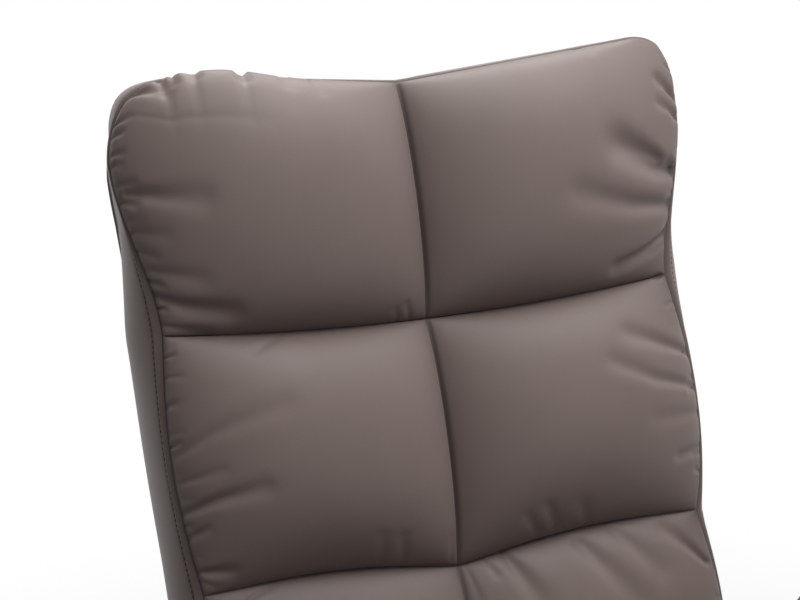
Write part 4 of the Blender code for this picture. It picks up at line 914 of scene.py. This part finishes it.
def makeArms():
    f = armForm
    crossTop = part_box("cross_tube_front")[1][2]
    foot, bend = crossTop + f["lift"], crossTop + f["foot"]
    half = f["thickness"] / 2
    corners = [(f["crossFront"], foot), (f["crossFront"], bend), (f["frontY"], f["top"] - half),
               (f["rearY"], f["top"] - f["slope"] - half), (f["crossRear"], bend), (f["crossRear"], foot)]
    path, run = evenly(bentLine(corners, f["bend"]), f["along"])
    tangent = unit(np.gradient(path, axis=0))
    normal = np.stack([-tangent[:, 1], tangent[:, 0]], -1)  # outward of the loop
    turning = np.gradient(np.unwrap(np.arctan2(tangent[:, 1], tangent[:, 0])), run)
    bent = np.clip(-turning / f["fullBend"], 0, 1)
    angle = np.linspace(0, 2 * math.pi, f["around"], endpoint=False)
    x, n = np.cos(angle), np.sin(angle)
    soft = (np.abs(x) ** f["power"] + np.abs(n) ** f["power"]) ** (-1 / f["power"])  # superellipse
    x, n = x * soft * f["width"] / 2, n * soft * half
    n = n + f["crown"] * (1 - (2 * x / f["width"]) ** 2) * np.sign(n)
    ends = np.minimum(np.minimum(run, run[-1] - run) / f["endRound"], 1)
    taper = np.sqrt(np.clip(1 - (1 - ends) ** 2, f["endLeast"], 1)) * f["endShare"] + 1 - f["endShare"]
    seam = np.exp(-((n / f["seamWidth"]) ** 2)) * (np.abs(x) > f["width"] * f["seamFrom"])
    # the inner side wrinkles where the bar bends
    wave = np.sin(run[:, None] * 2 * math.pi / f["wrinklePitch"] + 2 * x[None] / f["width"])
    wrinkle = f["wrinkle"] * bent[:, None] * (n < -half * f["wrinkleFrom"])[None] * wave
    across = x[None] * taper[:, None] * (1 - seam[None] * f["groove"] / (f["width"] / 2))
    out = n[None] * taper[:, None] + wrinkle
    y = path[:, None, 0] + normal[:, None, 0] * out
    z = path[:, None, 1] + normal[:, None, 1] * out
    # painted shade along the seam groove on both flanks
    paintedShade = np.broadcast_to(seam[None] * f["seamShade"], y.shape)
    quads = gridFaces(len(path), f["around"], closed=True)[:, ::-1]
    first = np.arange(f["around"])
    last = (len(path) - 1) * f["around"] + first
    inner = slice(f["stitchSkip"], -f["stitchSkip"])
    beside = path[inner] + normal[inner] * f["stitchAt"]
    lines, lifts = [], []
    for name in ("left", "right"):
        low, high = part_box("arm_pad_" + name)
        middle = (low[0] + high[0]) / 2
        points = np.stack([middle + across, y, z], -1)
        mesh = buildMesh("armPad_" + name, points, quads, [first, last[::-1]], paintedShade)
        addPiece("armPad_" + name, mesh, leather, "seat", ["arm_pad_" + name])
        for flank in (-1, 1):  # a row of stitches beside the seam, on both flanks
            width = np.full(len(beside), middle + flank * (f["width"] / 2 + f["stitchOut"]))
            lines.append(np.stack([width, *beside.T], -1))
            lifts.append(np.tile((float(flank), 0.0, 0.0), (len(beside), 1)))
    makeStitches("armStitches", lines, lifts, "seat")
    print("arm pads")


makeArms()


# End plugs of the cross tubes: a soft-cornered cap on each open end. A ring has its share of the tube's
# outline and its height
plugForm = dict(rings=((1.0, 0.0), (1.0, 0.0012), (0.95, 0.0022), (0.84, 0.0027)), corners=40, power=8.0)


def makePlugs():
    f = plugForm
    angle = np.linspace(0, 2 * math.pi, f["corners"], endpoint=False)
    y, z = np.cos(angle), np.sin(angle)
    soft = (np.abs(y) ** f["power"] + np.abs(z) ** f["power"]) ** (-1 / f["power"])  # superellipse
    points, quads, caps = [], [], []
    for tube in ("cross_tube_front", "cross_tube_rear"):
        low, high = [np.array(corner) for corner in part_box(tube)]
        middle, half = (low + high) / 2, (high - low) / 2
        for side in (-1, 1):
            start = len(points) * len(f["rings"]) * f["corners"]
            rings = []
            for share, out in f["rings"]:
                across = np.full(f["corners"], middle[0] + side * (half[0] + out))
                rings.append(np.stack([across, middle[1] + y * soft * half[1] * share,
                                       middle[2] + z * soft * half[2] * share], -1))
            points.append(np.stack(rings))
            faces = start + gridFaces(len(rings), f["corners"], closed=True)
            rim = start + np.arange(f["corners"])
            top = rim + (len(rings) - 1) * f["corners"]
            quads.append(faces[:, ::side])
            caps += [rim[::-side], top[::side]]
    mesh = buildMesh("tubePlugs", np.stack(points), np.concatenate(quads), caps)
    addPiece("tubePlugs", mesh, finishes["black_plastic"], "seat")
    print("tube plugs")


makePlugs()


# stage, light and camera

stageForm = dict(floor=9.0, floorColour=0.36, ambient=0.035, glowNear=0.72, fadeFrom=0.9, fadeTo=1.7)


def seenDirectly(paint):  # 1 for camera, glossy and transmission rays
    rays = ("Is Camera Ray", "Is Glossy Ray", "Is Transmission Ray")
    camera, glossy, through = [paint.node("LightPath", out=name) for name in rays]
    return (camera + glossy + through).clip()


def makeStage():
    half = stageForm["floor"]
    corners = np.array([(-half, -half, 0), (half, -half, 0), (half, half, 0), (-half, half, 0)], float)
    mesh = buildMesh("floor", corners, np.array([[0, 1, 2, 3]]))
    floor = bpy.data.objects.new("floor", mesh)
    bpy.context.scene.collection.objects.link(floor)
    made, sockets, paint = newMaterial("paleFloor", Roughness=0.9)
    shade, near = stageForm["floorColour"], stageForm["glowNear"]
    sockets["Base Color"].default_value = (shade, shade, shade, 1)
    lit = Wire(made.node_tree, made.node_tree.nodes["Principled BSDF"].outputs[0])
    glow = paint.node("Emission", None, {"Color": (1, 1, 1, 1), "Strength": 1.0})
    far = paint.node("VectorMath", {"operation": "LENGTH"}, {0: objectSpace(paint)}, out=1)
    glowShare = near + far.between(stageForm["fadeFrom"], stageForm["fadeTo"]) * (1 - near)
    part = paint.node("MixShader", None, {0: seenDirectly(paint) * glowShare, 1: lit, 2: glow})
    made.node_tree.links.new(part.socket, made.node_tree.nodes["Material Output"].inputs[0])
    mesh.materials.append(made)
    world = bpy.data.worlds.new("studio")
    bpy.context.scene.world = world
    world.use_nodes = True
    sky = Wire(world.node_tree)
    level = stageForm["ambient"] + seenDirectly(sky) * (1.0 - stageForm["ambient"])
    ground = world.node_tree.nodes["Background"].inputs
    ground["Color"].default_value = (1, 1, 1, 1)
    sky.feed(ground["Strength"], level)


# each lamp: place, width and height, watts
lampForm = dict(
    aim=(0.0, 0.38, 0.85),
    rearLight=((0.50, 1.42, 2.84), (1.5, 1.5), 58),
    topLight=((0.70, -0.50, 3.90), (2.2, 2.2), 118),
    sideLight=((1.75, -0.02, 2.35), (1.5, 1.5), 23),
    frontLight=((0.75, -1.75, 1.45), (1.9, 1.4), 11),
    backdropLight=((-1.45, 1.60, 1.50), (1.4, 1.6), 10),
)


def softbox(name):
    place, size, power = lampForm[name]
    lamp = bpy.data.lights.new(name, "AREA")
    lamp.shape = "RECTANGLE"
    lamp.size, lamp.size_y = size
    lamp.energy = power
    holder = bpy.data.objects.new(name, lamp)
    holder.location = place
    holder.rotation_euler = (Vector(lampForm["aim"]) - Vector(place)).to_track_quat("-Z", "Y").to_euler()
    bpy.context.scene.collection.objects.link(holder)


# focal length in pixels of a picture of that width
cameraForm = dict(
    place=(-0.6451, -1.2111, 1.3727), forward=(0.35129, 0.88436, -0.30743),
    sensor=36.0, focal=1825.0, picture=800.0,
)


def makeCamera():
    f = cameraForm
    lens = bpy.data.cameras.new("camera")
    lens.sensor_width = f["sensor"]
    lens.lens = f["sensor"] * f["focal"] / f["picture"]
    holder = bpy.data.objects.new("camera", lens)
    holder.location = f["place"]
    holder.rotation_euler = Vector(f["forward"]).to_track_quat("-Z", "Y").to_euler()
    bpy.context.scene.collection.objects.link(holder)
    bpy.context.scene.camera = holder


makeStage()
for name in ("rearLight", "topLight", "sideLight", "frontLight", "backdropLight"):
    softbox(name)
makeCamera()
bpy.context.scene.view_settings.view_transform = "Standard"
